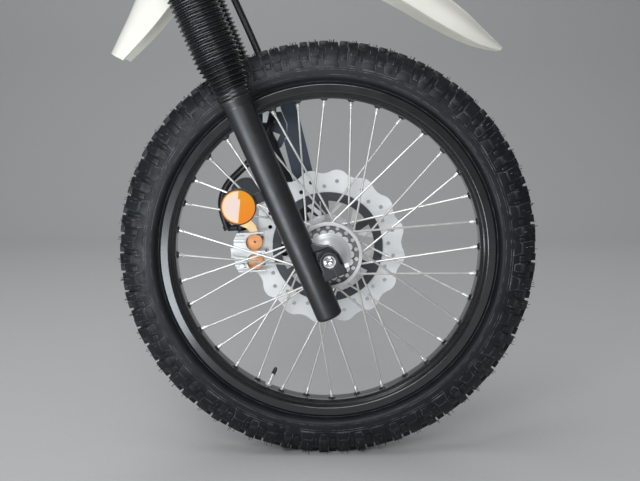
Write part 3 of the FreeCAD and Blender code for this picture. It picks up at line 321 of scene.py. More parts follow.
def hub_cast():
    """Machined casting, bright on ring and lobes, with the recess and the barrel painted darker as shade with
    brake dust.
    """
    material, tree, shader = start_material("hub_casting", (0.86, 0.86, 0.85), 0.34, 0.5)
    parts = from_point(tree, AXLE)
    radius = across_radius(tree, parts)
    recess = maths(tree, "MULTIPLY",
                   remap(tree, parts["Y"], -HUB_RECESS_OUTER - 0.003, -HUB_RECESS_OUTER),
                   remap(tree, parts["Y"], -HUB_RECESS_INNER + 0.002, -HUB_RECESS_INNER))
    recess = maths(tree, "MULTIPLY", recess, remap(tree, radius, HUB_RECESS_R + 0.0004, HUB_RECESS_R))
    from_middle = maths(tree, "ABSOLUTE", parts["Y"])
    barrel = maths(tree, "MULTIPLY", remap(tree, radius, HUB_BARREL_R + 0.006, HUB_BARREL_R),
                   remap(tree, from_middle, HUB_BARREL_END + 0.006, HUB_BARREL_END))
    ring = place(tree, TURNED, {"Rings": 900.0})
    bright = mixed(tree, ring["Shade"], rgba((0.76, 0.76, 0.76)), rgba((0.88, 0.88, 0.87)))
    # recess and barrel darkened: painted shade with brake dust
    shade = mixed(tree, maths(tree, "MULTIPLY", recess, 0.85), bright, rgba((0.16, 0.16, 0.165)))
    shade = mixed(tree, maths(tree, "MULTIPLY", barrel, 0.7), shade, rgba((0.20, 0.20, 0.21)))
    tree.links.new(shade, shader.inputs["Base Color"])
    tree.links.new(maths(tree, "MULTIPLY_ADD", recess, 0.3, 0.30), shader.inputs["Roughness"])
    bump(tree, shader, ring["Height"], 0.15, 0.00004, 0.0012)
    return material


MATERIALS = {
    # the tyre's lighter blue-grey lug edges are partly wear and partly a painted highlight
    "tyre": finish_in("tyre_rubber", (0.005, 0.006, 0.008), (0.012, 0.014, 0.017), 0.45, mottle=18.0,
                      dust=0.03, dust_color=(0.16, 0.165, 0.18), wear_and_highlight=1.0,
                      wear_and_highlight_color=(0.20, 0.205, 0.22), wear_width=0.0010, depth=0.0002, gloss=0.35),
    "rim_black": finish_in("rim_paint", (0.008, 0.008, 0.009), (0.012, 0.012, 0.013), 0.22, dust=0.03,
                           depth=0.00003, coat=0.75, soft=0.0006),
    "bright_steel": finish_in("bright_plate", (0.92, 0.92, 0.90), (0.80, 0.80, 0.78), 0.28, 0.55,
                              mottle=90.0, depth=0.00003, soft=0.0006),
    "cast_silver": finish_in("cast_aluminium", (0.66, 0.66, 0.65), (0.50, 0.50, 0.49), 0.40, 0.9,
                             mottle=60.0, grain=1400.0, depth=0.0001, soft=0.0010),
    "hub_cast": hub_cast(),
    "disc_steel": turned_metal("ground_disc", (0.96, 0.965, 0.96), 0.46, 0.1),
    "carrier_grey": finish_in("carrier_paint", (0.052, 0.057, 0.066), (0.080, 0.086, 0.096), 0.42, 0.3,
                              dust=0.05, soft=0.0008),
    "leg_black": finish_in("leg_paint", (0.005, 0.0055, 0.007), (0.007, 0.0075, 0.009), 0.38, dust=0.01,
                           depth=0.00006, soft=0.0012, gloss=0.8),
    "chromed_tube": finish_in("chromed_tube", (0.78, 0.78, 0.79), (0.72, 0.72, 0.73), 0.10, 1.0,
                              depth=0.00001, soft=0.0006),
    "gaiter_rubber": finish_in("gaiter_rubber", (0.005, 0.005, 0.006), (0.009, 0.009, 0.010), 0.26,
                               dust=0.02, gloss=0.7),
    "black_plastic": finish_in("black_plastic", (0.010, 0.011, 0.014), (0.018, 0.019, 0.023), 0.32,
                               dust=0.04, soft=0.0008),
    "caliper_silver": finish_in("caliper_paint", (0.74, 0.74, 0.73), (0.60, 0.60, 0.58), 0.42, 0.8,
                                mottle=50.0, grain=1200.0, depth=0.00012, soft=0.0012),
    "spring_yellow": finish_in("passivated_spring", (0.84, 0.62, 0.32), (0.74, 0.46, 0.20), 0.34, 0.6,
                               mottle=80.0, soft=0.0004),
    "pad_copper": finish_in("coppered_backing", (0.90, 0.42, 0.18), (0.72, 0.30, 0.12), 0.42, 0.6,
                            mottle=70.0, soft=0.0005),
    "hose_rubber": finish_in("hose_rubber", (0.006, 0.006, 0.007), (0.012, 0.012, 0.014), 0.34, dust=0.02),
    "amber_lens": amber(),
    "mudguard_white": finish_in("mudguard_plastic", (0.74, 0.71, 0.64), (0.68, 0.65, 0.57), 0.32,
                                mottle=6.0, dust=0.06, dust_color=(0.55, 0.50, 0.42), depth=0.00005),
    "clamp_plate": finish_in("clamp_plate", (0.92, 0.93, 0.94), (0.80, 0.82, 0.84), 0.34, 0.2,
                             mottle=120.0, depth=0.00004, soft=0.0008),
    "spoke_steel": finish_in("spoke_steel", (0.84, 0.83, 0.79), (0.66, 0.65, 0.62), 0.32, 0.7,
                             mottle=70.0, depth=0.00003),
    # the disc guard's black plastic gets a lighter blue-grey base colour: a painted sheen
    "guard_sheen_grey": finish_in("guard_plastic_sheen", (0.048, 0.064, 0.090), (0.064, 0.082, 0.112), 0.32,
                            dust=0.05, soft=0.0008),
    "black_steel": finish_in("black_plated_steel", (0.014, 0.014, 0.016), (0.026, 0.026, 0.03), 0.38, 0.5,
                             dust=0.04, soft=0.0008),
}


# nodes whose finish differs from the others of their slot
OWN_FINISH = {"hub": "hub_cast", "disc_guard": "guard_sheen_grey", "hose_fittings": "black_steel",
              "hose_guide": "clamp_plate", "spokes_right_trailing": "spoke_steel",
              "spokes_right_leading": "spoke_steel", "spokes_left_trailing": "spoke_steel",
              "spokes_left_leading": "spoke_steel"}


def dress_cad_nodes():
    """Gives every CAD node its own finish, or else the finish of its slot in the record."""
    for row in frame["record"]["subparts"]:
        node = frame["nodes"][row["node"]]
        node.data.materials.clear()
        finish = OWN_FINISH.get(row["node"], row["material_slot"])
        node.data.materials.append(MATERIALS[finish])


dress_cad_nodes()


# Sizes shared with the CAD, in metres

MM = 0.001
SEAT_HEIGHT = 0.614
LEG_OFFSET = 0.020
LEG_SPREAD = 0.097
LEG_BOTTOM = 0.084
BOSS_FACE = 0.111
LEG_TOP = 0.290
COLLAR_HEIGHT = 0.015
LEG_R = 0.0227
LEG_FOOT_R = 0.0207
TUBE_R = 0.0185
WELL_FLOOR = 0.030        # foot of the bored well above the axle, along the leg
YOKE_BOTTOM = -0.039
GAITER_R = 0.0377
GAITER_FIRST_R = 0.0292
GAITER_NECK_R = 0.0268
GAITER_CUFF = 0.012
GAITER_TAPER = 0.046
PLEAT_DEPTH = 0.0045
PLEATS = 36
RIM_INNER_R = 0.2515
TYRE_R = 0.344
LUG_PAIRS = 33
SPOKES_PER_SET = 9
SPOKE_HOLE_R = 0.0456
SPOKE_DEPTH = 0.02975     # bend of an outer spoke, from the middle plane
SPOKE_CROSSING = 0.007
SPOKE_SWEEP = 40.0        # degrees from a spoke's hole in the hub to its nipple
NIPPLE_Y = 0.005
FIRST_NIPPLE = 11.5       # degrees from +X towards +Z, as the bolts' and the valve's
AXLE_HEAD_Y = 109.0       # head's face and boss's inner face from the middle plane, in mm
BOSS_INNER = 82.0
BOLT_CIRCLE_R = 0.048
FIRST_BOLT = 34.0
DISC_BOLTS = 6
VALVE_ANGLE = 246.2
Y_AXIS = Vector((0, 1, 0))
Z_AXIS = Vector((0, 0, 1))


# Mesh helpers

def make_piece(name, verts, faces, slot, body, stands_for, sharp=35.0):
    """Makes a dressed piece of the object from points and faces."""
    mesh = bpy.data.meshes.new(name)
    mesh.from_pydata([tuple(v) for v in verts], [], faces)
    mesh.validate()
    return dress(name, mesh, slot, body, stands_for, sharp)


def dress(name, mesh, slot, body, stands_for, sharp=35.0):
    """Puts a mesh in the scene with its finish, its body and the CAD nodes it stands for."""
    mesh.shade_smooth()
    mesh.set_sharp_from_angle(angle=math.radians(sharp))
    mesh.materials.clear()
    mesh.materials.append(MATERIALS[slot])
    piece = bpy.data.objects.new(name, mesh)
    bpy.context.scene.collection.objects.link(piece)
    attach(piece, body)
    if stands_for:
        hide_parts(*stands_for)
    return piece


class Form:
    """Points and faces gathered for one mesh."""

    def __init__(self):
        self.verts = []
        self.faces = []

    def add(self, verts, faces):
        start = len(self.verts)
        self.verts.extend(verts)
        self.faces.extend([tuple(start + corner for corner in face) for face in faces])

    def turned(self, verts, faces, degrees):
        """Adds a copy turned about the axle, from +X towards +Z."""
        turn = Matrix.Rotation(-math.radians(degrees), 3, "Y")
        self.add([turn @ v for v in verts], faces)

    def about_axle(self):
        """The points, drawn from the axle's middle, at their place in the frame."""
        return [AXLE + v for v in self.verts]


def ring_grid(rings, closed_profile):
    """Points and faces of a skin over closed rings, each with as many points as the others."""
    rows = len(rings)
    count = len(rings[0])
    faces = []
    for row in range(rows if closed_profile else rows - 1):
        after = (row + 1) % rows
        for col in range(count):
            on = (col + 1) % count
            faces.append((row * count + col, after * count + col, after * count + on, row * count + on))
    return [v for ring in rings for v in ring], faces


def lathe(profile, origin, axis, segments, closed=True):
    """Revolves (along, radius) points about an axis through a point."""
    across = axis.orthogonal().normalized()
    other = axis.cross(across)
    rings = []
    for along, radius in profile:
        ring = []
        for step in range(segments):
            angle = 2 * math.pi * step / segments
            out = across * math.cos(angle) + other * math.sin(angle)
            ring.append(origin + axis * along + out * radius)
        rings.append(ring)
    return ring_grid(rings, closed)


def polar(radius, degrees, y):
    angle = math.radians(degrees)
    return Vector((radius * math.cos(angle), y, radius * math.sin(angle)))


def rounded_block(corners, bevel):
    """A closed block from two rings of corners, with all its edges rounded."""
    bm = bmesh.new()
    ends = [[bm.verts.new(corner) for corner in ring] for ring in corners]
    count = len(ends[0])
    bm.faces.new(ends[0])
    bm.faces.new(list(reversed(ends[1])))
    for index in range(count):
        on = (index + 1) % count
        bm.faces.new((ends[0][index], ends[1][index], ends[1][on], ends[0][on]))
    bmesh.ops.recalc_face_normals(bm, faces=bm.faces[:])
    bmesh.ops.bevel(bm, geom=bm.edges[:], offset=bevel, segments=2, profile=0.5, affect="EDGES",
                    clamp_overlap=True)
    bm.verts.ensure_lookup_table()
    bm.verts.index_update()
    verts = [v.co.copy() for v in bm.verts]
    faces = [tuple(v.index for v in face.verts) for face in bm.faces]
    bm.free()
    return verts, faces


def leg_place(ahead, left, up):
    """A place from a leg's axis at the axle's level. left is measured from the wheel's middle plane."""
    return FORK_AHEAD * (LEG_OFFSET + ahead) + Y_AXIS * left + FORK_UP * (up - SEAT_HEIGHT)


# Camera of the photograph

CAMERA_PLACE = AXLE + Vector((-0.030, -1.636, 0.261))
CAMERA_PITCH = math.radians(8.45)
CAMERA_YAW = 0.010
CAMERA_LENS = 56.0


def set_camera():
    data = bpy.data.cameras.new("photo_view")
    data.lens = CAMERA_LENS
    data.sensor_width = 36.0
    data.sensor_fit = "HORIZONTAL"
    camera = bpy.data.objects.new("photo_view", data)
    camera.location = CAMERA_PLACE
    camera.rotation_euler = (math.pi / 2 - CAMERA_PITCH, 0, -CAMERA_YAW)
    bpy.context.scene.collection.objects.link(camera)
    bpy.context.scene.camera = camera


set_camera()


# Brake hose: the CAD's own route points, from the axle's middle

HOSE_R = 0.006
HOSE_ROUTE = [(-174, 66, 35), (-182, 67, 56), (-183, 69, 82), (-172, 73, 107), (-150, 74, 128),
              (-128, 66, 150), (-110, 63, 180), (-97, 68, 208), (-92, 84, 236), (-97, 95, 272),
              (-116, 98, 325), (-157, 98, 416), (-186, 90, 478), (-208, 74, 512)]


def hose_piece():
    """The hose as a smooth curve."""
    curve = bpy.data.curves.new("hose", "CURVE")
    curve.dimensions = "3D"
    curve.bevel_depth = HOSE_R
    curve.bevel_resolution = 6
    curve.use_fill_caps = True
    curve.resolution_u = 14
    line = curve.splines.new("NURBS")
    line.points.add(len(HOSE_ROUTE) - 1)
    for point, spot in zip(line.points, HOSE_ROUTE):
        point.co = (*(AXLE + Vector(spot) * MM), 1)
    line.order_u = 3
    line.use_endpoint_u = True
    curve.materials.append(MATERIALS["hose_rubber"])
    piece = bpy.data.objects.new("hose", curve)
    bpy.context.scene.collection.objects.link(piece)
    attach(piece, "fork")
    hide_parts("brake_hose")


hose_piece()


# Tyre, in mm: outlines are (across, radius) on the bike's left

CARCASS = [(0, 337.5), (8, 337.2), (15, 336.2), (22, 333.2), (28, 327.8), (32.5, 320), (35.4, 311),
           (36.9, 304), (37.2, 301.5), (36.9, 301.2), (37.1, 298.2), (36.8, 297.9), (36.9, 294.5),
           (36.3, 290), (35.9, 289.7), (35.4, 286.5), (33.8, 284), (30.5, 281.8), (26.6, 280.3),
           (24.2, 279.6), (22.6, 279.2), (20.2, 268), (19.9, 267.3), (11, 267.3), (17, 276), (28, 288),
           (31, 300), (27, 318), (14, 329), (0, 331)]

# radius and half width of the carcass where the side lugs end
WALL_ACROSS = [(300, 37.2), (304, 36.9), (311, 35.9), (320, 33.6), (328, 29.0)]

# side lugs of an even and of an odd place: foot, tops, and the share of a pitch that each fills
LUG_FOOT = [(16.5, 334), (24, 331), (31, 322), (35, 310)]
LUG_TOPS = ([(16.8, 341.4), (25, 337.2), (33.4, 328.2), (36.6, 318)],
            [(16.8, 342.8), (26, 339.6), (34.6, 331), (36.6, 321)])
LUG_SHARES = (0.66, 0.50)
LUG_GAP = 0.02           # share of a pitch left bare at each end of a side lug
LUG_LEAN = 0.10          # degrees by which a block's foot is longer at each end
LUG_EDGE = 0.9
WEB_EDGE = 0.4
# raised face on the wall under each: half its width above and below, then its upper and lower radius
WALL_FACES = ((8.4, 12.6, 317.5, 302.0), (8.0, 5.6, 320.5, 304.5))
# web between two side lugs, from its share of a pitch past the first lug up to WEB_END
WEB_FOOT = [(33, 322), (35, 314)]
WEB_TOP = [(35.4, 320), (36.8, 312)]
WEB_START = 0.12
WEB_END = 0.88
# middle lugs: half widths, and start and end as shares of a pitch
MIDDLE_HALF_WIDTHS = (10.8, 12.0)
MIDDLE_SPANS = ((0.53, 0.96), (0.57, 0.93))
MIDDLE_FOOT_R = 335.0
MIDDLE_TOP_R = 343.7
# moulding whiskers beside each lug: radius, across and length
WHISKERS = ((329, 33, 5.0), (322, 36.4, 3.2), (340, 24, 5.5), (340, 23, 4.0), (341, 17.5, 4.5),
            (342, 9, 3.5))


def wall_at(radius):
    """Half width of the carcass at a radius, both in mm."""
    for (start, first), (end, last) in zip(WALL_ACROSS, WALL_ACROSS[1:]):
        if radius <= end:
            break
    return first + (last - first) * (radius - start) / (end - start)


def on_side(points, side):
    """An outline in metres, on the left for side 1 and on the right for side -1."""
    return [(side * across * MM, radius * MM) for across, radius in points]


def tread_block(low, high, start, end, bevel):
    """One rubber block: outlines at its foot and top in metres, from one angle to another."""
    foot = [polar(radius, start - LUG_LEAN, across) for across, radius in low] \
        + [polar(radius, end + LUG_LEAN, across) for across, radius in reversed(low)]
    top = [polar(radius, start, across) for across, radius in high] \
        + [polar(radius, end, across) for across, radius in reversed(high)]
    return rounded_block((foot, top), bevel)


def wall_face(side, middle, half_top, half_foot, top_r, foot_r):
    """A low raised trapezoid on the wall under a side lug, given half its widths in mm."""
    rings = []
    for out, shrink in ((-1.8, 0.0), (1.5, 0.7)):
        above = (top_r - shrink, half_top - shrink)
        below = (foot_r + shrink, half_foot - shrink)
        ring = []
        for (radius, half), turn in ((above, -1), (below, -1), (below, 1), (above, 1)):
            across = wall_at(radius) + out
            spot = polar(radius * MM, middle + turn * math.degrees(half / radius), side * across * MM)
            ring.append(spot)
        rings.append(ring)
    return rounded_block(rings, 0.0005)


def lug_blocks(kind, pitch):
    """All blocks of one even or odd place: side lugs with face and web, and the middle lug."""
    blocks = []
    share = LUG_SHARES[kind]
    for side in (1, -1):
        start = LUG_GAP * pitch
        end = (share - LUG_GAP) * pitch
        low = on_side(LUG_FOOT, side)
        high = on_side(LUG_TOPS[kind], side)
        blocks.append(tread_block(low, high, start, end, LUG_EDGE * MM))
        blocks.append(wall_face(side, (start + end) / 2, *WALL_FACES[kind]))
        web_start = (share + WEB_START) * pitch
        blocks.append(tread_block(on_side(WEB_FOOT, side), on_side(WEB_TOP, side), web_start,
                                  WEB_END * pitch, WEB_EDGE * MM))
    half = MIDDLE_HALF_WIDTHS[kind]
    low = on_side([(half + 0.6, MIDDLE_FOOT_R), (-half - 0.6, MIDDLE_FOOT_R)], 1)
    high = on_side([(half, MIDDLE_TOP_R), (-half, MIDDLE_TOP_R)], 1)
    start, end = MIDDLE_SPANS[kind]
    blocks.append(tread_block(low, high, start * pitch, end * pitch, LUG_EDGE * MM))
    return blocks


def add_whisker(form, foot, lean, reach):
    """A thin rubber hair, left out where it would pass the tyre's own front or lower end."""
    tip = foot + lean * reach * MM
    if tip.x > TYRE_R or tip.z < -TYRE_R:
        return
    form.add(*lathe([(-0.001, 0.0006), (reach * MM, 0.0004), (reach * MM, 0.0)], foot, lean, 5,
                    closed=False))


def tyre_piece():
    """Knobbed tyre: carcass, two alternating kinds of lugs and their moulding whiskers."""
    form = Form()
    half = on_side(CARCASS, 1)
    profile = half + [(-across, radius) for across, radius in reversed(half[1:-1])]
    form.add(*lathe(profile, Vector((0, 0, 0)), Y_AXIS, 264))
    pitch = 180.0 / LUG_PAIRS
    spread = random.Random(11)
    kinds = [lug_blocks(kind, pitch) for kind in (0, 1)]
    for step in range(2 * LUG_PAIRS):
        for verts, faces in kinds[step % 2]:
            form.turned(verts, faces, step * pitch + spread.uniform(-0.05, 0.05))
    for step in range(2 * LUG_PAIRS):
        for side in (1, -1):
            for radius, across, reach in WHISKERS:
                foot = polar(radius * MM, (step + spread.uniform(0.1, 0.55)) * pitch, side * across * MM)
                out = Vector((foot.x, 0, foot.z)).normalized()
                lean = (out + Y_AXIS * side * spread.uniform(-0.3, 0.5)).normalized()
                add_whisker(form, foot, lean, reach)
    return make_piece("tyre_tread", form.about_axle(), form.faces, "tyre", "wheel", ["tyre"], 40.0)


# Rim, nipples, axle, disc bolts and valve

# half of the rim's section, (across, radius) in mm, from the well round the lip to the inner face
RIM_SECTION = [(10.2, 255.6), (10.4, 264.8), (11.6, 266.9), (20.3, 266.9), (22.5, 277.5), (22.8, 277.9),
               (23.2, 277.4), (23.6, 276.2), (24.3, 275.5), (25.2, 275.3), (25.8, 274.9), (26.0, 274.2),
               (26.0, 273.4), (25.99, 272.9), (25.81, 263.5), (25.8, 263.0), (25.2, 261.8), (23.9, 260.8),
               (19.6, 256.9), (19.3, 256.0), (18.6, 255.4), (14.6, 252.0), (13.2, 251.5), (6.0, 251.5)]

# raised seat under a nipple, (inward from the rim, radius) in metres
NIPPLE_SEAT = [(-0.0015, 0.0088), (0.0, 0.0080), (0.0010, 0.0062), (0.0020, 0.0050), (0.0027, 0.0044),
               (0.0030, 0.0038), (0.0030, 0.0022)]


def spoke_ends(side, turn, index):
    """The bend at the hub and the nipple's seat of one spoke, from the axle's middle."""
    step = 360.0 / SPOKES_PER_SET
    first = FIRST_NIPPLE if side < 0 else FIRST_NIPPLE + step / 4
    if turn < 0:
        first -= side * step / 2
    at_rim = first + index * step
    depth = SPOKE_DEPTH if turn > 0 else SPOKE_DEPTH - SPOKE_CROSSING
    bend = polar(SPOKE_HOLE_R, at_rim + turn * SPOKE_SWEEP, side * depth)
    return bend, polar(RIM_INNER_R, at_rim, side * NIPPLE_Y)


def all_spokes():
    return [spoke_ends(side, turn, index)
            for side in (-1, 1) for turn in (1, -1) for index in range(SPOKES_PER_SET)]


def rim_piece():
    """Drop-centre rim with rolled lips and a raised seat under each nipple."""
    form = Form()
    half = on_side(RIM_SECTION, 1)
    profile = half + [(-across, radius) for across, radius in reversed(half)]
    form.add(*lathe(profile, Vector((0, 0, 0)), Y_AXIS, 360))
    for _, foot in all_spokes():
        inward = -Vector((foot.x, 0, foot.z)).normalized()
        form.add(*lathe(NIPPLE_SEAT, foot, inward, 20, closed=False))
    return make_piece("rim_rolled", form.about_axle(), form.faces, "rim_black", "wheel", ["rim"], 50.0)


def squared_ring(centre, along, half, squareness):
    """Ring of 16 points about a place: round at squareness 2, near square at 6."""
    count = 16
    across = along.orthogonal().normalized()
    other = along.cross(across)
    ring = []
    for step in range(count):
        angle = 2 * math.pi * (step + 0.5) / count
        first = math.cos(angle)
        second = math.sin(angle)
        reach = half / (abs(first) ** squareness + abs(second) ** squareness) ** (1 / squareness)
        ring.append(centre + (across * first + other * second) * reach)
    return ring


# a nipple from the rim inward: (along, half width, squareness), in mm
NIPPLE_FORM = [(-0.6, 1.7, 2), (-0.6, 2.85, 2), (0.9, 2.85, 2), (1.5, 2.8, 3), (2.0, 2.75, 6),
               (9.0, 2.75, 6), (9.7, 2.6, 3), (10.4, 2.4, 2), (13.2, 2.15, 2), (13.9, 1.95, 2),
               (14.0, 1.6, 2)]


def nipples_piece():
    """Nipples with a round collar at the rim, wrench flats and a tapered end on the spoke."""
    form = Form()
    for bend, foot in all_spokes():
        along = (bend - foot).normalized()
        rings = [squared_ring(foot + along * reach * MM, along, half * MM, squareness)
                 for reach, half, squareness in NIPPLE_FORM]
        form.add(*ring_grid(rings, False))
    return make_piece("nipples_tapered", form.about_axle(), form.faces, "bright_steel", "wheel",
                      ["spoke_nipples"], 45.0)


def socket_rings(origin, along, rows, count=24):
    """Rings for a turned head with a hexagon socket: rows of (along, half size, is hexagon) in mm."""
    across = along.orthogonal().normalized()
    other = along.cross(across)
    rings = []
    for reach, half, hexagon in rows:
        ring = []
        for step in range(count):
            angle = 2 * math.pi * step / count
            turned = (angle + math.pi / 6) % (math.pi / 3) - math.pi / 6
            radius = half / math.cos(turned) if hexagon else half
            out = across * math.cos(angle) + other * math.sin(angle)
            ring.append(origin + along * reach * MM + out * radius * MM)
        rings.append(ring)
    return rings


# plug in the axle's head, from the head's face: (along, half size, is hexagon) in mm
PLUG_FORM = [(15.0, 8.1, False), (3.2, 8.1, False), (2.4, 7.7, False), (2.2, 6.6, False), (1.9, 5.6, False),
             (2.1, 5.0, True), (2.6, 4.7, True), (11.0, 4.7, True), (12.0, 2.0, False), (12.0, 0.01, False)]


def axle_pieces():
    """Hollow axle with a ringed head, and the plated plug with a hexagon socket sunk in it."""
    form = Form()
    head = -AXLE_HEAD_Y
    step = -BOSS_INNER
    tail = AXLE_HEAD_Y
    # (along, radius) in mm
    bar = [(head + 2.6, 8.2), (head + 0.5, 8.5), (head, 9.0), (head, 9.6), (head + 0.5, 10.1),
           (step - 0.4, 10.1), (step, 9.7), (step, 8.5), (tail - 0.8, 8.5), (tail, 7.7), (tail, 6.5),
           (tail - 0.6, 6.0), (head + 15, 6.0), (head + 15, 8.2)]
    form.add(*lathe([(along * MM, radius * MM) for along, radius in bar], AXLE, Y_AXIS, 48))
    make_piece("axle_turned", form.verts, form.faces, "bright_steel", "fork", ["axle"], 40.0)
    face = AXLE - Y_AXIS * AXLE_HEAD_Y * MM
    verts, faces = ring_grid(socket_rings(face, Y_AXIS, PLUG_FORM, 48), False)
    make_piece("axle_plug", verts, faces, "chromed_tube", "fork", [], 40.0)


# a disc bolt from its end in the hub to its head's socket, from the middle plane, in mm
DISC_BOLT_FORM = [(41.2, 0.01, False), (41.2, 3.6, False), (41.6, 4.0, False), (51.9, 4.0, False),
                  (51.9, 6.2, False), (52.2, 6.5, False), (54.4, 6.5, False), (55.8, 6.1, False),
                  (56.6, 5.2, False), (56.9, 4.2, False), (56.9, 3.2, True), (56.5, 2.9, True),
                  (54.0, 2.9, True), (53.6, 1.4, False), (53.6, 0.01, False)]


def disc_bolts_piece():
    """Button heads with hexagon sockets, on shanks through disc and carrier."""
    form = Form()
    for step in range(DISC_BOLTS):
        origin = polar(BOLT_CIRCLE_R, FIRST_BOLT + step * 360.0 / DISC_BOLTS, 0)
        form.add(*ring_grid(socket_rings(origin, Y_AXIS, DISC_BOLT_FORM, 36), False))
    return make_piece("disc_bolts_socketed", form.about_axle(), form.faces, "black_steel", "wheel",
                      ["disc_bolts"], 35.0)


THREAD_START = 3.4       # valve stem's thread from the rim, in mm
THREAD_END = 22.0
THREAD_PITCH = 0.7
# valve cap: (along from the rim, radius, is ribbed) in mm
CAP_FORM = ((21.0, 2.6, False), (21.0, 3.2, False), (21.4, 3.4, True), (30.0, 3.4, True), (30.6, 3.1, False),
            (32.0, 2.5, False), (33.4, 1.9, False), (33.9, 1.2, False), (34.0, 0.01, False))
CAP_RIB_SHARE = 0.91     # radius between two ribs as a share of the ribs' own


def valve_pieces():
    """Threaded valve stem with its lock nut, and a ribbed cap."""
    foot = polar(RIM_INNER_R - 0.0003, VALVE_ANGLE, 0)
    inward = -foot.normalized()
    stem = Form()
    rows = [(0.0, 2.0, False), (0.0, 5.4, True), (3.0, 5.4, True), (THREAD_START, 4.9, False),
            (THREAD_START, 3.3, False)]
    reach = THREAD_START
    while reach < THREAD_END:
        rows += [(reach + 0.3, 3.35, False), (reach + 0.65, 2.95, False)]
        reach += THREAD_PITCH
    stem.add(*ring_grid(socket_rings(foot, inward, rows, 30), False))
    make_piece("valve_thread", stem.about_axle(), stem.faces, "bright_steel", "wheel", ["valve_stem"], 40.0)
    cap = Form()
    rings = []
    for reach, radius, ribbed in CAP_FORM:
        ring = socket_rings(foot, inward, [(reach, radius, False)], 48)[0]
        if ribbed:
            middle = foot + inward * reach * MM
            ring = [middle + (v - middle) * (CAP_RIB_SHARE if index % 2 else 1.0)
                    for index, v in enumerate(ring)]
        rings.append(ring)
    cap.add(*ring_grid(rings, False))
    make_piece("valve_cap", cap.about_axle(), cap.faces, "black_plastic", "wheel", [], 30.0)


# Gaiters

# cuff at a gaiter's foot, with a groove round its middle: (above the foot, inward from its neck)
CUFF_FORM = [(0.0, 0.0012), (0.0010, 0.0), (0.0042, 0.0), (0.0052, 0.0009), (0.0062, 0.0009), (0.0072, 0.0),
             (0.0098, 0.0), (0.0110, 0.0010)]
# one pleat as shares of its pitch and of its depth
PLEAT_FORM = ((0.16, 0.10), (0.29, 0.40), (0.40, 0.84), (0.46, 0.98), (0.54, 0.98), (0.60, 0.84),
              (0.71, 0.40), (0.84, 0.10), (1.0, 0.0))
GAITER_END_GAP = 0.0003
GAITER_BORE_GAP = 0.0025  # between a gaiter's inside and the tube
CREST_UNEVEN = 0.0005     # how far a crest may fall short
SHIFT_UNEVEN = 0.06       # how far a crest may stand off its place, as a share of the pitch
CREST_FROM = 0.2          # part of a pleat that shifts with its crest, as shares of the pitch
CREST_TO = 0.8


def gaiter_piece(side, name):
    """Rubber bellows with rounded, slightly uneven pleats and a cuff on the leg's collar."""
    low = LEG_TOP + GAITER_END_GAP
    high = SEAT_HEIGHT + YOKE_BOTTOM - GAITER_END_GAP
    spread = random.Random(5 + side)
    foot = low + GAITER_CUFF
    pitch = (high - foot) / PLEATS
    bore = TUBE_R + GAITER_BORE_GAP
    profile = [(low, bore)] + [(low + up, GAITER_NECK_R - inset) for up, inset in CUFF_FORM]
    for pleat in range(PLEATS):
        grown = min(1.0, pleat * pitch / GAITER_TAPER)
        crest = GAITER_FIRST_R + grown * (GAITER_R - GAITER_FIRST_R)
        root = crest - PLEAT_DEPTH
        crest -= spread.uniform(0, CREST_UNEVEN)
        shift = spread.uniform(-SHIFT_UNEVEN, SHIFT_UNEVEN)
        for share, rise in PLEAT_FORM:
            moved = share + shift if CREST_FROM < share < CREST_TO else share
            along = foot + moved * pitch
            profile.append((along, root + rise * (crest - root)))
        foot += pitch
    profile.append((high, bore))
    verts, faces = lathe(profile, leg_place(0, side * LEG_SPREAD, 0), FORK_UP, 72)
    return make_piece(name, verts, faces, "gaiter_rubber", "fork", [name.replace("bellows", "gaiter")], 60.0)


# Lower legs: the CAD's own form with its bored well filled, remeshed so that edges and roots are soft

# hollow between leg and boss, measured from the axle in the leg's own directions
SLOT_RING_R = 0.0164     # raised ring that the hollow ends at
SLOT_BACK = 0.0188
SLOT_TOP = 0.0225
SLOT_LOW = 0.0138
SLOT_DEPTH = 0.0042
SLOT_EDGE = 0.0011       # width over which the hollow's walls slope
SLOT_START = 0.0002      # how far outside its outline the slope starts
SLOT_BELOW = 0.0035      # only points from this far under the boss's outer face
SLOT_ABOVE = 0.0004      # up to this far over it are pressed in
LEG_VOXEL = 0.0009
LEG_SMOOTHING = 3
WELL_GAP = 0.0006        # how much wider than the tube the well's own faces may be, in radius
ROUND_WITHIN = 0.0005    # points this near to the plain leg's radius are put on it


def welded_copy(node):
    """The CAD node's mesh as a bmesh with its doubled corners joined."""
    bm = bmesh.new()
    bm.from_mesh(frame["nodes"][node].data)
    bmesh.ops.remove_doubles(bm, verts=bm.verts[:], dist=1e-6)
    return bm


def remeshed(bm, voxel, smoothing):
    """Turns a closed bmesh into an even, softened skin."""
    mesh = bpy.data.meshes.new("rough_form")
    bm.to_mesh(mesh)
    bm.free()
    holder = bpy.data.objects.new("rough_form", mesh)
    bpy.context.scene.collection.objects.link(holder)
    even = holder.modifiers.new("even", "REMESH")
    even.mode = "VOXEL"
    even.voxel_size = voxel
    soft = holder.modifiers.new("soft", "SMOOTH")
    soft.factor = 0.5
    soft.iterations = smoothing
    evaluated = holder.evaluated_get(bpy.context.evaluated_depsgraph_get())
    result = bpy.data.meshes.new_from_object(evaluated)
    bpy.data.objects.remove(holder)
    bpy.data.meshes.remove(mesh)
    return result


def leg_radius(up):
    """The leg's tapered radius at a height above the axle, below its collar."""
    share = (up + LEG_BOTTOM) / (LEG_TOP - COLLAR_HEIGHT + LEG_BOTTOM)
    return LEG_FOOT_R + share * (LEG_R - LEG_FOOT_R)


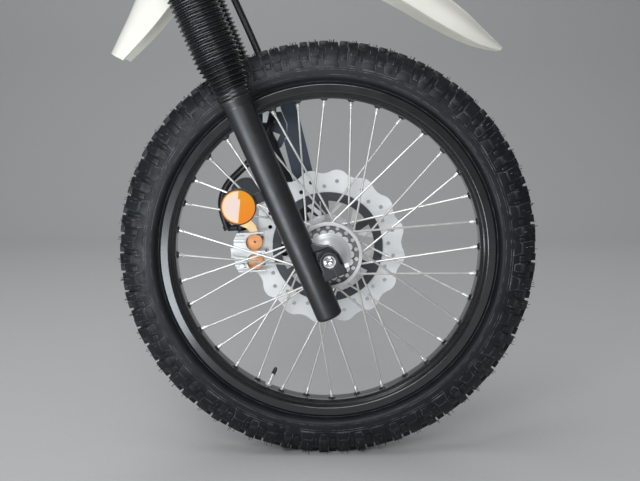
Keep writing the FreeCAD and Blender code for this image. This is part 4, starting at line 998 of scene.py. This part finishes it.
def sink_slot(mesh, side):
    """Presses the hollow between leg and axle boss into the boss's outer face."""
    for vert in mesh.vertices:
        out = side * vert.co.y
        if out < BOSS_FACE - SLOT_BELOW or out > BOSS_FACE + SLOT_ABOVE:
            continue
        spot = vert.co - AXLE
        ahead = spot.dot(FORK_AHEAD)
        up = spot.dot(FORK_UP)
        inner = math.hypot(ahead, up) - SLOT_RING_R if up > 0 else -SLOT_RING_R - ahead
        inside = min(ahead + SLOT_BACK, inner, SLOT_TOP - up, up + SLOT_LOW)
        if inside > -SLOT_START:
            share = min(1.0, (inside + SLOT_START) / SLOT_EDGE)
            vert.co.y -= side * SLOT_DEPTH * share * share * (3 - 2 * share)


def leg_piece(side, node):
    """One leg: its well filled, softened, its plain stretch made truly round, and the hollow sunk."""
    foot = leg_place(0, side * LEG_SPREAD, 0)
    bm = welded_copy(node)
    inner = []
    for face in bm.faces:
        spots = [vert.co - foot for vert in face.verts]
        off = [(spot - FORK_UP * spot.dot(FORK_UP)).length for spot in spots]
        lowest = min(spot.dot(FORK_UP) for spot in spots)
        if max(off) < TUBE_R + WELL_GAP and lowest > WELL_FLOOR - 0.001:
            inner.append(face)
    bmesh.ops.delete(bm, geom=inner, context="FACES")
    bmesh.ops.holes_fill(bm, edges=[edge for edge in bm.edges if edge.is_boundary], sides=0)
    mesh = remeshed(bm, LEG_VOXEL, LEG_SMOOTHING)
    plain_from = -LEG_BOTTOM + 0.005
    plain_to = LEG_TOP - COLLAR_HEIGHT - 0.003
    for vert in mesh.vertices:
        spot = vert.co - foot
        up = spot.dot(FORK_UP)
        off = spot - FORK_UP * up
        limit = leg_radius(up)
        if plain_from < up < plain_to and abs(off.length - limit) < ROUND_WITHIN:
            vert.co = foot + FORK_UP * up + off.normalized() * limit
    sink_slot(mesh, side)
    name = node.replace("fork_leg", "leg_casting")
    return dress(name, mesh, "leg_black", "fork", [node], 180.0)


# Mudguard

# along the crown, from the bearing seat: ahead, above, slope in degrees, half width and depth of the
# sides, in mm
MUDGUARD_STATIONS = [
    (-59.4, -220.6, 63, 34, 26),
    (-31.4, -165.5, 63, 44, 46),
    (-2.8, -109.5, 63, 50, 62),
    (49.1, -48.8, 36, 54, 62),
    (149.6, -16.1, 0, 60, 58),
    (287.6, -34.3, -15, 68, 57),
    (399.8, -78.5, -28, 66, 55),
    (495.6, -143.6, -40.5, 54, 45),
    (541.6, -184.1, -42, 36, 28),
    (570.6, -210.1, -42, 14, 8),
]


def between(rows, place_at):
    """Smooth value between table rows, at a place counted in rows."""
    index = min(int(place_at), len(rows) - 2)
    share = place_at - index
    before = rows[max(index - 1, 0)]
    after = rows[min(index + 2, len(rows) - 1)]
    result = []
    for w, x, y, z in zip(before, rows[index], rows[index + 1], after):
        bend = (2 * w - 5 * x + 4 * y - z) * share ** 2 + (3 * x - w - 3 * y + z) * share ** 3
        result.append(0.5 * (2 * x + (y - w) * share + bend))
    return result


# across as a share of the half width and depth as a share of the side, from the crown's middle out
BLADE_SECTION = [(0.0, 0.0), (0.16, 0.006), (0.32, 0.03), (0.46, 0.075), (0.60, 0.145), (0.72, 0.235),
                 (0.82, 0.33), (0.89, 0.42), (0.935, 0.51), (0.96, 0.60), (0.975, 0.72), (0.985, 0.84),
                 (0.992, 0.94), (1.0, 1.0)]
BLADE_SIDE_WALL = 2.6
BLADE_CROWN_WALL = 2.8
BLADE_THINNING = 0.55    # share of the crown's wall lost by the lower edge


def mudguard_piece():
    """Blade lofted smoothly through the CAD's stations, with a wall that thins to its lower edges."""
    steps = 90
    last_station = len(MUDGUARD_STATIONS) - 1
    rings = []
    for step in range(steps + 1):
        ahead, above, slope, half, depth = between(MUDGUARD_STATIONS, step / steps * last_station)
        angle = math.radians(slope)
        out = Vector((-math.sin(angle), 0, math.cos(angle)))
        middle = Vector((ahead, 0, above))
        outer = [(share * half, -drop * depth) for share, drop in BLADE_SECTION]
        right = [(-across, drop) for across, drop in reversed(outer[1:])]
        skin = right + outer
        inner = []
        for across, drop in reversed(skin):
            share = abs(across) / half
            inner.append((across * (half - BLADE_SIDE_WALL * share) / half,
                          drop - BLADE_CROWN_WALL * (1 - BLADE_THINNING * share)))
        ring = [(middle + Y_AXIS * across + out * drop) * MM for across, drop in skin + inner]
        rings.append(ring)
    verts, faces = ring_grid(rings, False)
    count = len(rings[0])
    first = tuple(range(count))
    last = tuple(range(steps * count, (steps + 1) * count))
    half_count = count // 2
    for ends, turned in ((first, True), (last, False)):
        for index in range(half_count - 1):
            face = (ends[index], ends[index + 1], ends[count - 2 - index], ends[count - 1 - index])
            faces.append(face if turned else tuple(reversed(face)))
    return make_piece("mudguard_blade", verts, faces, "mudguard_white", "fork", ["mudguard"], 40.0)


tyre_piece()
rim_piece()
nipples_piece()
axle_pieces()
disc_bolts_piece()
valve_pieces()
for side, name in ((-1, "right"), (1, "left")):
    gaiter_piece(side, "bellows_" + name)
    leg_piece(side, "fork_leg_" + name)
mudguard_piece()


# Floor and lamps

def stage_material(name, color):
    """Plain pale surface with a faint grain, which keeps the object's shadow."""
    material, tree, shader = start_material(name, color, 0.9)
    grain = noise(tree, object_place(tree), 300.0, 4.0)
    darker = rgba(tuple(part * 0.94 for part in color))
    shade = mixed(tree, remap(tree, grain, 0.3, 0.7), rgba(color), darker)
    tree.links.new(shade, shader.inputs["Base Color"])
    return material


BACKDROP_COLOR = (0.56, 0.56, 0.55)
BACKDROP_AHEAD = 3.2     # backdrop's foot beyond the wheel, away from the camera
BACKDROP_BEND = 0.8
BACKDROP_HALF = 14.0
BACKDROP_HEIGHT = 5.0


def backdrop():
    """Floor that curves up into a wall behind the object."""
    steps = 16
    section = [(-BACKDROP_HALF, 0.0), (BACKDROP_AHEAD - BACKDROP_BEND, 0.0)]
    for step in range(1, steps + 1):
        turn = step / steps * math.pi / 2
        section.append((BACKDROP_AHEAD - BACKDROP_BEND + BACKDROP_BEND * math.sin(turn),
                        BACKDROP_BEND - BACKDROP_BEND * math.cos(turn)))
    section.append((BACKDROP_AHEAD, BACKDROP_HEIGHT))
    mesh = bpy.data.meshes.new("backdrop")
    points = [(AXLE.x + side * BACKDROP_HALF, y, FLOOR + z) for y, z in section for side in (-1, 1)]
    faces = [(2 * row, 2 * row + 1, 2 * row + 3, 2 * row + 2) for row in range(len(section) - 1)]
    mesh.from_pydata(points, [], faces)
    mesh.shade_smooth()
    sheet = bpy.data.objects.new("backdrop", mesh)
    bpy.context.scene.collection.objects.link(sheet)
    mesh.materials.append(stage_material("backdrop", BACKDROP_COLOR))


def lamp(name, place_at, target, size, watts, color=(1, 1, 1)):
    """A rectangular lamp that looks at a target."""
    light = bpy.data.lights.new(name, "AREA")
    light.shape = "RECTANGLE"
    light.size, light.size_y = size
    light.energy = watts
    light.color = color
    thing = bpy.data.objects.new(name, light)
    thing.location = place_at
    thing.rotation_euler = (Vector(target) - Vector(place_at)).to_track_quat("-Z", "Y").to_euler()
    bpy.context.scene.collection.objects.link(thing)
    return thing


def light_up():
    """Soft lamps from before, above and behind, one low on the floor, and an even world."""
    middle = AXLE + Vector((0, 0, 0.05))
    ground = Vector((AXLE.x - 0.80, -1.50, FLOOR + 0.02))
    low = lamp("low_before", ground, ground + Z_AXIS, (1.0, 1.5), 42.0, (0.86, 0.93, 1.0))
    low.visible_camera = False
    lamp("before", middle + Vector((-0.5, -2.6, 1.3)), middle, (1.8, 1.3), 46.0, (0.95, 0.98, 1.0))
    lamp("above", middle + Vector((-0.9, -0.4, 2.6)), middle, (2.4, 2.0), 36.0, (0.93, 0.96, 1.0))
    lamp("behind", middle + Vector((0.4, 2.4, 2.0)), middle, (3.0, 2.0), 16.0)
    world = bpy.data.worlds.new("even_light")
    world.use_nodes = True
    shader = world.node_tree.nodes["Background"]
    shader.inputs["Color"].default_value = (0.80, 0.83, 0.88, 1)
    shader.inputs["Strength"].default_value = 0.24
    bpy.context.scene.world = world


backdrop()
light_up()
bpy.context.scene.view_settings.view_transform = "Standard"
